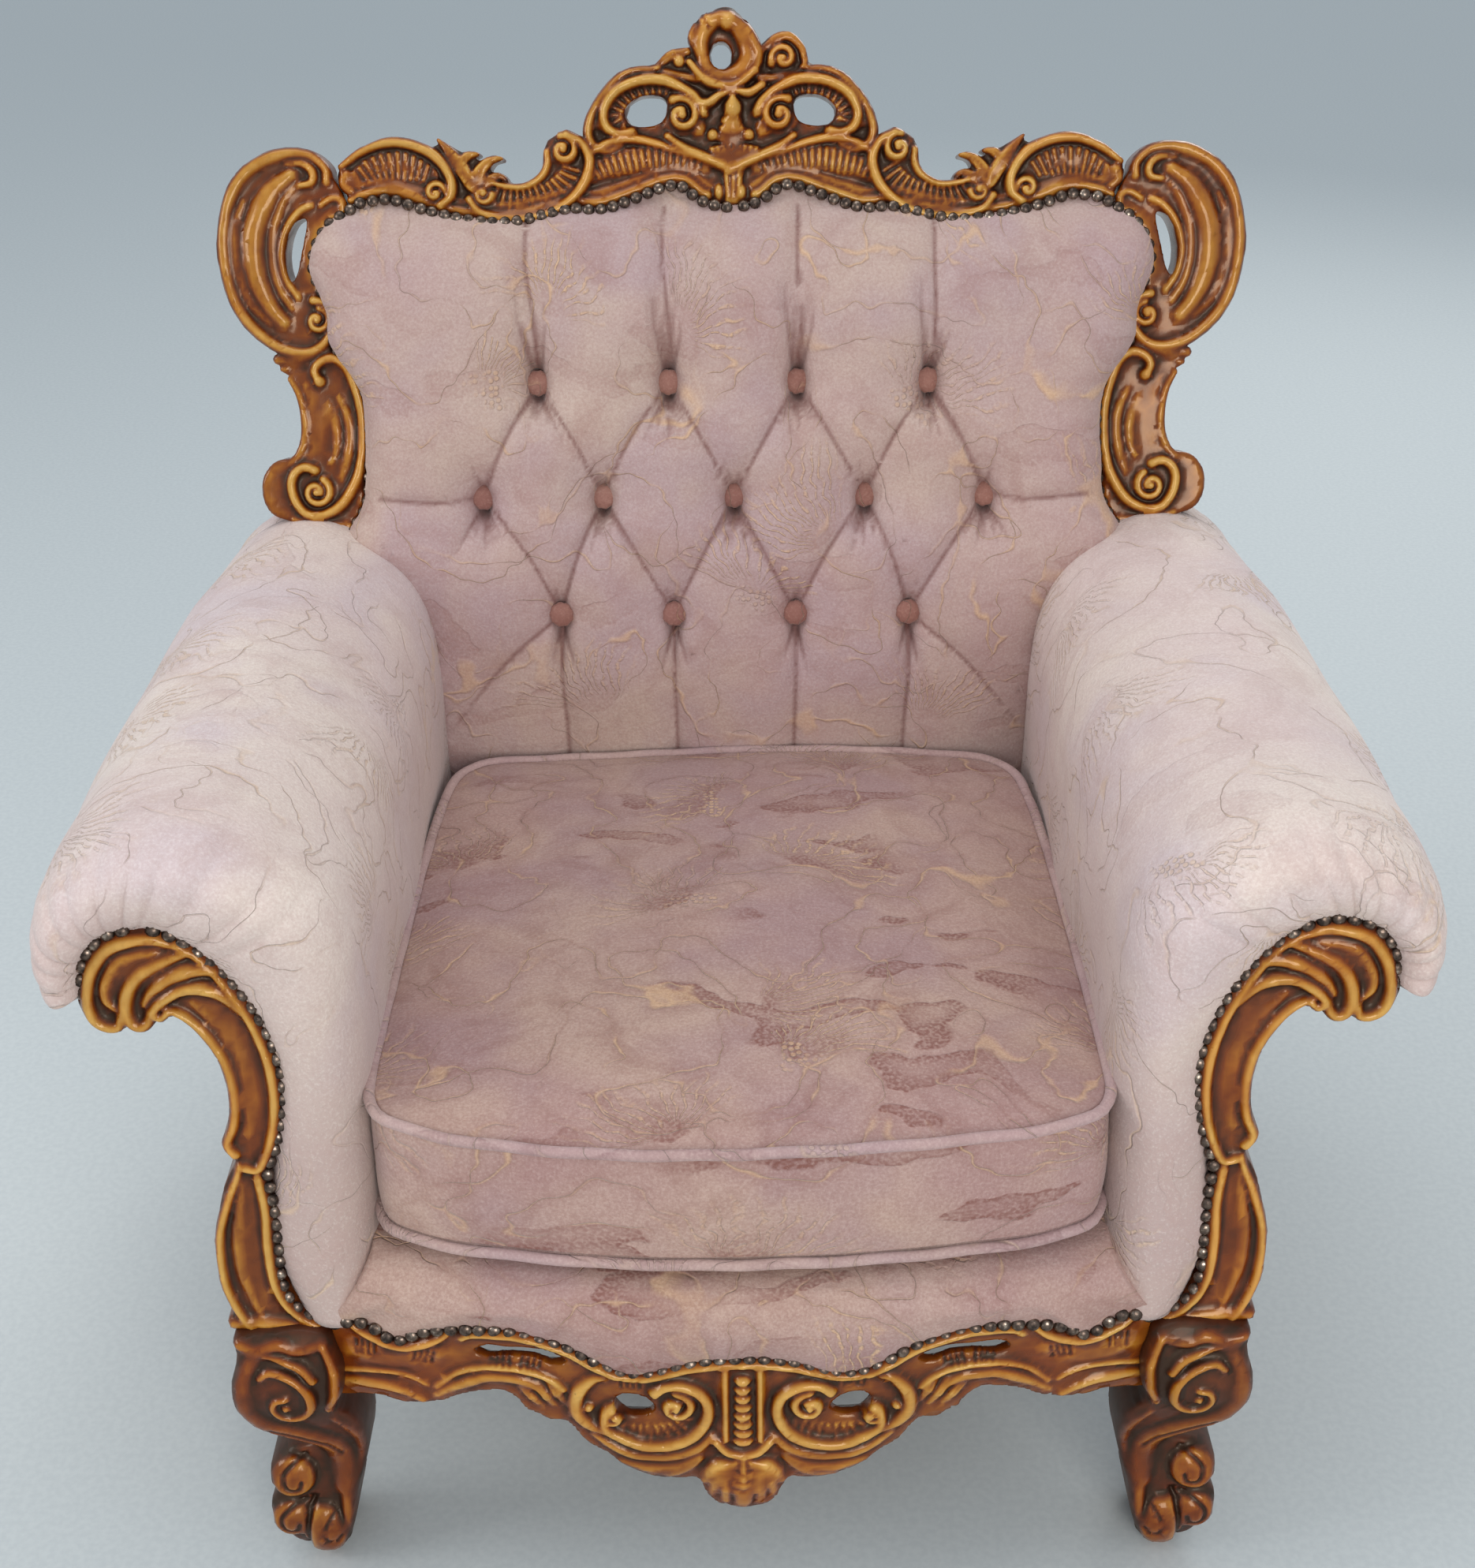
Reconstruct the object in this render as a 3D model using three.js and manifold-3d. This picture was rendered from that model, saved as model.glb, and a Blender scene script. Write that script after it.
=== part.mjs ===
// Carved armchair in the baroque-revival manner: a varnished beech frame of separate carved
// members, with a tufted back, two scroll arms and a loose seat cushion.
// Millimetres, +Z up, front towards -Y. Left is the -X side.
import * as THREE from 'three';
import { mergeVertices } from 'three/addons/utils/BufferGeometryUtils.js';
import Module from 'manifold-3d';

const wasm = await Module();
wasm.setup();

// Driving dimensions
const DEPTH_CENTRE = 379.7;     // y of the middle of the chair, measured from the rail corners
const GAP = 0.35;              // clearance between pieces that touch
const RECLINE = 16.9 * Math.PI / 180;
const BACK_Y = 648;            // the back frame's front plane passes here ...
const BACK_Z = 670;            // ... at this height
const FRAME_THICK = 28;        // back frame, behind its front plane
const CARVE_PROUD = 14;        // carving in front of that plane
const FACING_LEAN = Math.tan(4.3 * Math.PI / 180);
const FACING_Y = 20;
const FACING_Z = 270;
const FACING_THICK = 34;
const RAIL_BOW = 45;           // how far the front rail bows forward at the middle
const RAIL_HALF = 310;
const RAIL_LOW = 186;
const RAIL_TOP = 256;
const SIDE_RAIL_X = 352;
const SIDE_RAIL_THICK = 28;
const POST_X = 376;
const POST_THICK = 46;
const INNER_ARM = 275;         // inner wall of each arm
const SEAT_BACK_Y = 590;
const DECK_LOW = 255;
const DECK_TOP = 326;
const CUSHION_LOW = 329;
const CUSHION_TOP = 452;
const BUTTON_R = 11;
const BUTTON_POCKET_R = 13;
const BUTTON_W = 20;           // how deep the buttons are pulled into the back pad
const STRAP_WIDE = 50;
const STRAP_THICK = 2.5;

const wood = (color) => new THREE.MeshStandardMaterial({ color, roughness: 0.35, metalness: 0 });
const cloth = (color) => new THREE.MeshStandardMaterial({ color, roughness: 0.9, metalness: 0 });

const chair = new THREE.Group();
chair.position.y = -DEPTH_CENTRE;

// Flat outlines and plates

const vectors = (points) => points.map(([x, y]) => new THREE.Vector2(x, y));

// The outline runs anticlockwise and its holes clockwise.
function shapeOf(points, holes = []) {
  const facing = (list, wanted) => {
    const path = vectors(list);
    return Math.sign(THREE.ShapeUtils.area(path)) === wanted ? path : path.reverse();
  };
  const shape = new THREE.Shape(facing(points, 1));
  for (const hole of holes) shape.holes.push(new THREE.Path(facing(hole, -1)));
  return shape;
}

function oval(cx, cy, rx, ry, n = 12) {
  const points = [];
  for (let i = 0; i < n; i++) {
    const a = 2 * Math.PI * i / n;
    points.push([cx + rx * Math.cos(a), cy + ry * Math.sin(a)]);
  }
  return points;
}

// Moves every corner of an outline outwards by d.
function grow(points, d) {
  const area = points.reduce((sum, [x, y], i) => {
    const [u, v] = points[(i + 1) % points.length];
    return sum + x * v - u * y;
  }, 0);
  const turn = Math.sign(area);
  return points.map(([x, y], i) => {
    const [px, py] = points[(i + points.length - 1) % points.length];
    const [nx, ny] = points[(i + 1) % points.length];
    const a = new THREE.Vector2(x - px, y - py).normalize();
    const b = new THREE.Vector2(nx - x, ny - y).normalize();
    const out = new THREE.Vector2(a.y + b.y, -a.x - b.x).multiplyScalar(turn);
    const reach = d / Math.max(0.5, out.length() / 2);
    out.normalize().multiplyScalar(reach);
    return [x + out.x, y + out.y];
  });
}

const flat = (shape, depth) => new THREE.ExtrudeGeometry(shape, { depth, bevelEnabled: false });

// Front-view outline (x, z), from y0 in front to y1 behind.
function frontPlate(shape, y0, y1) {
  return flat(shape, y1 - y0).rotateX(Math.PI / 2).translate(0, y1, 0);
}

// Plan outline (x, y), from z0 up to z1.
function planPlate(shape, z0, z1) {
  return flat(shape, z1 - z0).translate(0, 0, z0);
}

// Side-view outline (y, z), from x0 to x1.
const alongX = new THREE.Matrix4().makeBasis(
  new THREE.Vector3(0, 1, 0), new THREE.Vector3(0, 0, 1), new THREE.Vector3(1, 0, 0));
function sidePlate(shape, x0, x1) {
  return flat(shape, x1 - x0).applyMatrix4(alongX).translate(x0, 0, 0);
}

// Outline on the reclined back plane (x, up the back), from w0 behind to w1 in front of it.
function toBack(geometry) {
  return geometry.rotateX(Math.PI / 2 - RECLINE).translate(0, BACK_Y, BACK_Z);
}

function backPlate(shape, w0, w1) {
  return toBack(flat(shape, w1 - w0).translate(0, 0, w0));
}

// Front-view outline on the leaning plane of an arm facing.
function facingPlate(shape, w0, w1) {
  const lean = new THREE.Matrix4().set(
    1, 0, 0, 0,
    0, 1, FACING_LEAN, -FACING_LEAN * FACING_Z,
    0, 0, 1, 0,
    0, 0, 0, 1);
  return frontPlate(shape, FACING_Y - w1, FACING_Y - w0).applyMatrix4(lean);
}

// Joining and cutting

function solid(geometry) {
  const bare = geometry.index ? geometry.clone() : geometry;
  bare.deleteAttribute('normal');
  bare.deleteAttribute('uv');
  const merged = mergeVertices(bare, 1e-4);
  return new wasm.Manifold(new wasm.Mesh({
    numProp: 3,
    vertProperties: new Float32Array(merged.attributes.position.array),
    triVerts: new Uint32Array(merged.index.array),
  }));
}

function geometryOf(body) {
  const mesh = body.getMesh();
  const geometry = new THREE.BufferGeometry();
  geometry.setAttribute('position', new THREE.BufferAttribute(mesh.vertProperties, 3));
  geometry.setIndex(new THREE.BufferAttribute(mesh.triVerts, 1));
  geometry.computeVertexNormals();
  return geometry;
}

function add(name, geometry, material) {
  const mesh = new THREE.Mesh(geometry, material);
  mesh.name = name;
  chair.add(mesh);
  return mesh;
}

const both = [['left', -1], ['right', 1]];

// Outlines, drawn for the left half

// Nail line around the upholstered back, from the middle of the top down the left side.
const NAIL_TOP = [
  [0, 260], [-14, 262], [-30, 268], [-44, 279], [-58, 279], [-78, 272], [-100, 264], [-120, 259],
  [-142, 261], [-160, 257], [-182, 252], [-202, 249], [-232, 251], [-262, 257], [-288, 265],
  [-305, 270], [-331, 267],
];
const NAIL_SIDE = [
  [-345, 258], [-359, 249], [-370, 234], [-375, 220], [-375, 207], [-368, 189], [-361, 170],
  [-361, 149], [-352, 131], [-343, 119], [-333, 99], [-331, 71], [-332, 35], [-336, 0], [-350, -24],
];

const TOP_RAIL_LEFT = [
  [-347, 277], [-352, 292], [-342, 304], [-326, 314], [-308, 319], [-288, 318], [-270, 313],
  [-258, 322], [-240, 312], [-222, 303], [-208, 288], [-197, 281], [-182, 284], [-170, 294],
  [-169, 312], [-163, 323], [-151, 328], [-138, 325], [-128, 318], [-128, 332], [-124, 347],
  [-112, 363], [-95, 373], [-75, 375],
];
const CREST = [
  [-62, 374], [-66, 382], [-50, 394], [-38, 395], [-32, 405], [-31, 417], [-20, 425], [-10, 432],
  [2, 432], [10, 425], [14, 412], [20, 398], [30, 398], [40, 404], [54, 402], [64, 391], [66, 380],
  [62, 374],
];

const STILE_OUTER = [
  [-356, 293], [-372, 307], [-396, 313], [-420, 306], [-441, 288], [-455, 262], [-460, 230],
  [-459, 204], [-447, 174], [-426, 148], [-414, 137], [-415, 122], [-402, 112], [-394, 88],
  [-394, 66], [-399, 42], [-412, 40], [-425, 33], [-431, 20], [-431, 6], [-424, -5], [-412, -11],
  [-400, -15], [-402, -62], [-353, -62],
];
const STILE_SLOT = [
  [-382, 258], [-380, 248], [-384, 234], [-387, 220], [-390, 206], [-395, 198], [-400, 208],
  [-401, 222], [-398, 238], [-392, 251],
];

const FACING_NAILS = [
  [-462, 537], [-463, 550], [-461, 563], [-455, 575], [-443, 586], [-428, 591], [-414, 592],
  [-401, 589], [-390, 582], [-369, 562], [-350, 536], [-337, 507], [-331, 484], [-330, 462],
  [-333, 435], [-341, 408], [-347, 390], [-345, 354], [-345, 322], [-346, 296], [-340, 274],
  [-326, 258],
];
const FACING_OUTER = [
  [-316, 250.4], [-381, 250.4], [-384, 268], [-390, 288], [-392, 312], [-388, 350], [-379, 383],
  [-369, 404], [-375, 420], [-366, 432], [-364, 451], [-364, 469], [-369, 491], [-377, 511],
  [-391, 527], [-403, 533], [-415, 526], [-422, 518], [-431, 518], [-437, 523], [-446, 516],
  [-458, 517], [-467, 527], [-469, 540],
];

const RAIL_TOP_LINE = [
  [-309.5, 256], [-298, 260], [-282, 262], [-268, 252], [-256, 250], [-242, 260], [-223, 266],
  [-198, 270], [-176, 270], [-154, 265], [-133, 260], [-117, 252], [-104, 243], [-91, 237],
  [-78, 235], [-64, 238], [-44, 246], [-24, 251], [0, 252],
];
const RAIL_LOW_LINE = [
  [0, 102], [-18, 106], [-30, 118], [-38, 136], [-51, 130], [-61, 133], [-78, 138], [-92, 146],
  [-104, 157], [-119, 167], [-129, 180], [-136, 189], [-147, 187], [-155, 193], [-164, 196],
  [-170, 206], [-181, 213], [-196, 211], [-213, 205], [-228, 196], [-244, 192], [-258, 189],
  [-280, 192], [-309.5, 186],
];
const RAIL_SLOT = [
  [-203, 244], [-193, 252], [-168, 252], [-144, 248], [-132, 241], [-144, 238], [-167, 243],
  [-192, 240],
];
const RAIL_HOLE = [[-94, 214], [-83, 218], [-70, 213], [-70, 200], [-84, 199]];

const flip = (points) => points.map(([x, y]) => [-x, y]).reverse();
const sided = (points, side) => (side < 0 ? points : flip(points));

// Back frame

const topLower = grow([...NAIL_TOP, [-331, 400], [0, 400]], -4).slice(0, NAIL_TOP.length);
topLower[0] = [0, 264];
const topRailOutline = [
  ...topLower, ...TOP_RAIL_LEFT, ...CREST, ...flip(TOP_RAIL_LEFT), ...flip(topLower.slice(1)),
];
const kidney = [[-94, 344], [-78, 357], [-61, 355], [-58, 344], [-62, 335], [-78, 330], [-92, 334]];
const topRailHoles = [kidney, flip(kidney), oval(-9, 391, 10, 13)];
add('back_top_rail', backPlate(shapeOf(topRailOutline, topRailHoles), -FRAME_THICK, CARVE_PROUD),
  wood('#8c5120'));

const stileInner = NAIL_SIDE.map(([x, v]) => [x - 4, v]).reverse();
const stileOutline = [...stileInner, [-348, 278], ...STILE_OUTER];
stileOutline[stileInner.length] = [-347.5, 276];
for (const [name, side] of both) {
  const outline = sided(stileOutline, side);
  const slot = sided(STILE_SLOT, side);
  const shift = side * GAP;
  add(`back_${name}_stile`,
    backPlate(shapeOf(outline, [slot]), -FRAME_THICK, CARVE_PROUD).translate(shift, 0, 0),
    wood('#96581f'));
}

const backAt = (v, w) => [
  BACK_Y + v * Math.sin(RECLINE) - w * Math.cos(RECLINE),
  BACK_Z + v * Math.cos(RECLINE) + w * Math.sin(RECLINE),
];
const POST_PROFILE = [
  backAt(-62.5, -2), [618, 470], [606, 330], [605, 190], [640, 110], [700, 50], [752, 0], [796, 0],
  [742, 60], [692, 130], [665, 200], [655, 290], [662, 470], backAt(-62.5, -44),
];
for (const [name, side] of both) {
  const x0 = side * POST_X - POST_THICK / 2;
  add(`rear_${name}_post`, sidePlate(shapeOf(POST_PROFILE), x0, x0 + POST_THICK), wood('#6d3c18'));
}

const postInner = POST_X - POST_THICK / 2 - GAP;
add('back_cross_rail',
  new THREE.BoxGeometry(2 * postInner, 24, 50).translate(0, 641, 335), wood('#7a4a24'));

// Seat frame

const bow = (x) => FACING_Y - RAIL_BOW * (1 - (x / 330) ** 2);

function bowSlab(front, back, half, z0, z1, n = 16) {
  const points = [];
  for (let i = 0; i <= n; i++) {
    const x = -half + 2 * half * i / n;
    points.push([x, bow(x) - front]);
  }
  for (let i = n; i >= 0; i--) {
    const x = -half + 2 * half * i / n;
    points.push([x, bow(x) + back]);
  }
  return planPlate(shapeOf(points), z0, z1);
}

const railOutline = [
  ...RAIL_TOP_LINE, ...flip(RAIL_TOP_LINE).slice(1),
  ...flip(RAIL_LOW_LINE).slice(0, -1), ...RAIL_LOW_LINE,
];
const railHoles = [RAIL_SLOT, flip(RAIL_SLOT), RAIL_HOLE, flip(RAIL_HOLE)];
const railFront = solid(frontPlate(shapeOf(railOutline, railHoles), -90, 90));
const frontRail = railFront.intersect(solid(bowSlab(16, 24, 315, 60, 300)));
add('front_rail', geometryOf(frontRail), wood('#96581f'));

for (const [name, side] of both) {
  const rail = new THREE.BoxGeometry(SIDE_RAIL_THICK, 530, RAIL_TOP - RAIL_LOW);
  const x = side * SIDE_RAIL_X;
  add(`seat_${name}_rail`, rail.translate(x, 338, (RAIL_LOW + RAIL_TOP) / 2), wood('#6d3c18'));
}
const rearRail = new THREE.BoxGeometry(2 * postInner, 30, RAIL_TOP - RAIL_LOW - 4);
add('seat_rear_rail', rearRail.translate(0, 634, (RAIL_LOW + RAIL_TOP) / 2), wood('#6d3c18'));

const railInner = SIDE_RAIL_X - SIDE_RAIL_THICK / 2 - GAP;
const frontBlock = [
  [-308, 44], [-225, 24], [-railInner, 150], [-railInner, 71], [-308, 71],
];
for (const [name, side] of both) {
  add(`front_${name}_corner_block`,
    planPlate(shapeOf(sided(frontBlock, side)), 192, 244), wood('#a8824e'));
  const rear = [[-railInner, 603], [-railInner, 520], [-240, 603]];
  add(`rear_${name}_corner_block`, planPlate(shapeOf(sided(rear, side)), 192, 244),
    wood('#a8824e'));
}

// Front legs: the front silhouette cut through by the side silhouette
const LEG_FRONT = [
  [-311, 250], [-379, 250], [-381, 236], [-385, 212], [-382, 186], [-370, 156], [-354, 134],
  [-342, 120], [-340, 108], [-350, 104], [-366, 96], [-374, 74], [-378, 46], [-376, 20], [-362, 4],
  [-350, 0], [-330, 0], [-320, 14], [-317, 40], [-307, 76], [-299, 110], [-297, 142], [-303, 168],
  [-311, 184],
];
const LEG_SIDE = [
  [4, 250], [0, 225], [0, 195], [10, 160], [30, 120], [34, 100], [26, 70], [24, 40], [28, 12],
  [36, 0], [86, 0], [90, 20], [82, 60], [76, 105], [74, 150], [70, 190], [70, 250],
];
for (const [name, side] of both) {
  const front = solid(frontPlate(shapeOf(sided(LEG_FRONT, side)), -60, 140));
  const profile = solid(sidePlate(shapeOf(LEG_SIDE), -420, 420));
  add(`front_${name}_leg`, geometryOf(front.intersect(profile)), wood('#7a4219'));
}

// Arm facings
const facingOutline = [...FACING_NAILS, ...FACING_OUTER];
const facingBody = (side, d, w0, w1) =>
  facingPlate(shapeOf(grow(sided(facingOutline, side), d)), w0, w1);
for (const [name, side] of both) {
  add(`${name}_arm_facing`, facingBody(side, 0, -FACING_THICK, 10), wood('#96581f'));
}

// Webbing under the seat
for (let i = 0; i < 4; i++) {
  const strap = new THREE.BoxGeometry(STRAP_WIDE, 559, STRAP_THICK);
  add(`seat_strap_${i + 1}`, strap.translate(-195 + 130 * i, 326, 246), cloth('#6b5a45'));
}
for (let i = 0; i < 3; i++) {
  const strap = new THREE.BoxGeometry(2 * railInner, STRAP_WIDE, STRAP_THICK);
  add(`cross_strap_${i + 1}`, strap.translate(0, 180 + 140 * i, 249), cloth('#6b5a45'));
}

// Seat deck with its rolled front edge, down to the nail line on the rail
const deckFace = [
  [-274.5, DECK_TOP + 10],
  ...RAIL_TOP_LINE.filter(([x]) => x > -275).map(([x, z]) => [x, z + 2]),
];
deckFace.splice(1, 0, [-274.5, 260]);
const deckOutline = [...deckFace, ...flip(deckFace).slice(1)];
const DECK_SIDE = [
  [-60, 200], [-60, 295], [20, DECK_TOP - 2], [60, DECK_TOP], [SEAT_BACK_Y, DECK_TOP - 12],
  [SEAT_BACK_Y, 200],
];
const deckFront = solid(frontPlate(shapeOf(deckOutline), -60, 46));
const deckBack = solid(frontPlate(shapeOf([
  [-274.5, DECK_LOW], [274.5, DECK_LOW], [274.5, DECK_TOP + 10], [-274.5, DECK_TOP + 10],
]), 46, SEAT_BACK_Y));
const deckPlan = solid(bowSlab(4, 600, 330, 200, 400));
const deckBody = deckFront.add(deckBack).intersect(deckPlan)
  .intersect(solid(sidePlate(shapeOf(DECK_SIDE), -330, 330)));
add('seat_deck', geometryOf(deckBody), cloth('#9b7872'));

// Loose cushion with a bowed front
const cushionPlan = [];
for (let i = 0; i <= 12; i++) {
  const x = -240 + 40 * i;
  cushionPlan.push([x, 20 - 36 * (1 - (x / 270) ** 2)]);
}
cushionPlan.push([262, 28], [272, 48], [271, 300], [262, 545], [250, 566], [225, 576]);
cushionPlan.push([110, 586], [0, 589], [-110, 586], [-225, 576], [-250, 566], [-262, 545]);
cushionPlan.push([-271, 300], [-272, 48], [-262, 28]);
const cushion = new THREE.ExtrudeGeometry(shapeOf(cushionPlan), {
  depth: CUSHION_TOP - CUSHION_LOW - 36, bevelThickness: 18, bevelSize: 14, bevelOffset: -14,
  bevelSegments: 2,
});
add('seat_cushion', cushion.translate(0, 0, CUSHION_LOW + 18), cloth('#a07d78'));

// Back pad, with a pocket for every button
const padHalf = [
  ...NAIL_TOP, ...NAIL_SIDE,
  [-345, -60], [-318, -75], [-290, -100], [-276, -140], [-273, -200], [-272, -352], [0, -352],
];
const padOutline = [...padHalf, ...flip(padHalf.slice(1, -1))];
const PAD_SIDE = [
  [8, 285], [12, 262], [30, 235], [42, 190], [46, 100], [44, 0], [34, -90], [12, -170],
  [-16, -240], [-46, -352], [-62, -352], [-46, -150], [-24, -60], [-24, 285],
];
const padProfile = (d) => {
  const side = shapeOf(grow(PAD_SIDE.map(([w, v]) => [v, w]), d));
  return toBack(flat(side, 800).applyMatrix4(alongX).translate(-400, 0, 0));
};
const buttons = [];
for (const x of [-176, -58, 58, 176]) buttons.push([x, 108]);
for (const x of [-228, -119, 0, 119, 228]) buttons.push([x, 6]);
for (const x of [-160, -56, 56, 160]) buttons.push([x, -102]);
const padBody = (d) => solid(backPlate(shapeOf(grow(padOutline, d)), -100, 70))
  .intersect(solid(padProfile(d)));
let backPad = padBody(0);
for (const [x, v] of buttons) {
  const pocket = new THREE.CylinderGeometry(BUTTON_POCKET_R, BUTTON_POCKET_R, 60, 12);
  pocket.rotateX(Math.PI / 2).translate(x, v, BUTTON_W + 30);
  backPad = backPad.subtract(solid(toBack(pocket)));
}
add('back_pad', geometryOf(backPad), cloth('#a3837e'));

const buttonProfile = [
  [0, 0], [BUTTON_R - 2, 0], [BUTTON_R, 2], [BUTTON_R, 4], [BUTTON_R - 4, 7], [0, 8],
].map(([r, h]) => new THREE.Vector2(r, h));
buttons.forEach(([x, v], i) => {
  const button = new THREE.LatheGeometry(buttonProfile, 12);
  button.rotateX(Math.PI / 2).translate(x, v, BUTTON_W + GAP);
  add(`back_button_${i + 1}`, toBack(button), cloth('#8f6a66'));
});

// Scroll arms
const ARM_SECTION = [
  [-INNER_ARM, 264], [-INNER_ARM, 535], [-279, 572], [-296, 608], [-330, 640], [-375, 657],
  [-420, 658], [-462, 642], [-492, 612], [-505, 578], [-501, 545], [-484, 520], [-460, 508],
  [-430, 508], [-400, 498], [-376, 470], [-358.5, 430], [-358.5, 264],
];
const ARM_PLAN = [
  [-268, 700], [-268, 120], [-INNER_ARM, 60], [-292, 28], [-330, 8], [-400, 4], [-455, 10],
  [-484, 30], [-498, 95], [-505, 200], [-505, 350], [-498, 520], [-480, 640], [-452, 690],
  [-410, 706], [-353, 706],
];
const behindFacing = [
  ...FACING_NAILS, [-300, 258], [-300, 200], [-600, 200], [-600, 480], [-480, 500], [-476, 542],
];
for (const [name, side] of both) {
  let arm = solid(frontPlate(shapeOf(sided(ARM_SECTION, side)), -10, 710));
  arm = arm.intersect(solid(planPlate(shapeOf(sided(ARM_PLAN, side)), 200, 700)));
  const keepOut = grow(sided(behindFacing, side), 2 * GAP);
  arm = arm.subtract(solid(facingPlate(shapeOf(keepOut), -FACING_THICK - GAP, 80)));
  const x0 = side * POST_X - POST_THICK / 2 - GAP;
  const post = sidePlate(shapeOf(grow(POST_PROFILE, GAP)), x0, x0 + POST_THICK + 2 * GAP);
  arm = arm.subtract(solid(post));
  const behind = [
    [654.5, 200], [654.5, 260], [659.5, 470], backAt(-62.5, -27.5), backAt(100, -27.5),
    [900, 700], [900, 200],
  ];
  const inside = side < 0 ? [-401, -200] : [200, 401];
  arm = arm.subtract(solid(sidePlate(shapeOf(behind), ...inside)));
  arm = arm.subtract(padBody(1.5));
  arm = arm.subtract(solid(new THREE.BoxGeometry(800, 25, 51).translate(0, 641, 335)));
  const stile = grow(sided(stileOutline, side), 1);
  arm = arm.subtract(solid(backPlate(shapeOf(stile), -FRAME_THICK - 1, CARVE_PROUD + 1)));
  add(`${name}_arm_pad`, geometryOf(arm), cloth('#b39a92'));
  const panel = new THREE.BoxGeometry(6, 530, 170);
  add(`${name}_outside_arm_panel`, panel.translate(side * 362, 337, 343), cloth('#a98f88'));
}

// Outside back, above and below the bend of the posts
const outsideUpper = grow([...NAIL_TOP, ...NAIL_SIDE, [-352, -61], [0, -61]], 10)
  .slice(0, NAIL_TOP.length + NAIL_SIDE.length);
const upperHalf = [[0, 268], ...outsideUpper.slice(1), [-365, -61]];
const upperPanel = [...upperHalf, ...flip(upperHalf.slice(1))];
add('outside_back_upper', backPlate(shapeOf(upperPanel), -FRAME_THICK - 6, -FRAME_THICK - GAP),
  cloth('#a98f88'));
const LOWER_BACK = [[655, 260], [660, 470], backAt(-62.5, -36), backAt(-62.5, -42), [666, 470],
  [661, 260]];
add('outside_back_lower', sidePlate(shapeOf(LOWER_BACK), -postInner, postInner),
  cloth('#a98f88'));

export default chair;
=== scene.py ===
import bmesh
import bpy
import numpy as np
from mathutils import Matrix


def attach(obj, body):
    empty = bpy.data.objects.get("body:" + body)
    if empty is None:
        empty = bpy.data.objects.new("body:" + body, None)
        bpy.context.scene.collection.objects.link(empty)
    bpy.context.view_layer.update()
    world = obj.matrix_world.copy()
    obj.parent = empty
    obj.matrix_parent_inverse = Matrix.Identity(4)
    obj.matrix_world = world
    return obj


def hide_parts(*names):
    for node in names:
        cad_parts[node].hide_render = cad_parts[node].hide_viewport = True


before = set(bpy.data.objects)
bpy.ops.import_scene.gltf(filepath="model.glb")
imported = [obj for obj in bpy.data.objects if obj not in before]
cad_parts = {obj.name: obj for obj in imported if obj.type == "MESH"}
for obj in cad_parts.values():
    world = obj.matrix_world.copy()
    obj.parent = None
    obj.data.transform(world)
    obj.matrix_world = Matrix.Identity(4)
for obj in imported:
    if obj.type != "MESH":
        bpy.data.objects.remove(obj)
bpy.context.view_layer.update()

import openvdb
from math import cos, exp, pi, radians, sin, sqrt, tan
from mathutils import Matrix, Vector
from mathutils.geometry import tessellate_polygon


def linked(name, data):
    """A new object in the scene."""
    made = bpy.data.objects.new(name, data)
    bpy.context.scene.collection.objects.link(made)
    return made


# Camera: a standing adult's view, a little over two arm's lengths from the chair and looking
# down on the seat. Floor and lights: a pale floor, with four large soft boxes over and around.
LOOK_DOWN = 0.4975
TURN = 0.0025
ROLL = -0.0078
CAMERA_AT = Vector((-0.0034, -1.6355, 1.4062))
ahead = Vector((sin(TURN) * cos(LOOK_DOWN), cos(TURN) * cos(LOOK_DOWN), -sin(LOOK_DOWN)))
level = Vector((cos(TURN), -sin(TURN), 0))
upright = level.cross(ahead)
camera_right = level * cos(ROLL) + upright * sin(ROLL)
camera_up = upright * cos(ROLL) - level * sin(ROLL)
camera_data = bpy.data.cameras.new("camera")
camera_data.lens = 50.42
camera_data.sensor_width = 36
camera = linked("camera", camera_data)
turned = Matrix((camera_right, camera_up, -ahead)).transposed()
camera.matrix_world = Matrix.Translation(CAMERA_AT) @ turned.to_4x4()
bpy.context.scene.camera = camera
bpy.context.scene.view_settings.view_transform = "Standard"


def new_material(name):
    material = bpy.data.materials.new(name)
    material.use_nodes = True
    material.node_tree.nodes.clear()
    return material


def node(tree, kind, links=None, family="ShaderNode", **settings):
    """Adds a node; links gives its inputs as values or as sockets of other nodes."""
    made = tree.nodes.new(family + kind)
    for key, value in settings.items():
        setattr(made, key, value)
    for key, value in (links or {}).items():
        if isinstance(value, bpy.types.NodeSocket):
            tree.links.new(value, made.inputs[key])
        else:
            made.inputs[key].default_value = value
    return made


def ramp(tree, factor, stops, smooth=True):
    """Colour ramp; stops are (place, colour) with a grey number or an RGB colour."""
    made = node(tree, "ValToRGB", {0: factor})
    band = made.color_ramp
    band.interpolation = "EASE" if smooth else "LINEAR"
    for i, (place, colour) in enumerate(stops):
        stop = band.elements[i] if i < 2 else band.elements.new(place)
        stop.position = place
        rgb = colour if isinstance(colour, tuple) else (colour,) * 3
        stop.color = (*rgb, 1)
    return made.outputs[0]


def maths(tree, operation, a, b=0.0, clamp=False):
    return node(tree, "Math", {0: a, 1: b}, operation=operation, use_clamp=clamp).outputs[0]


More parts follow.
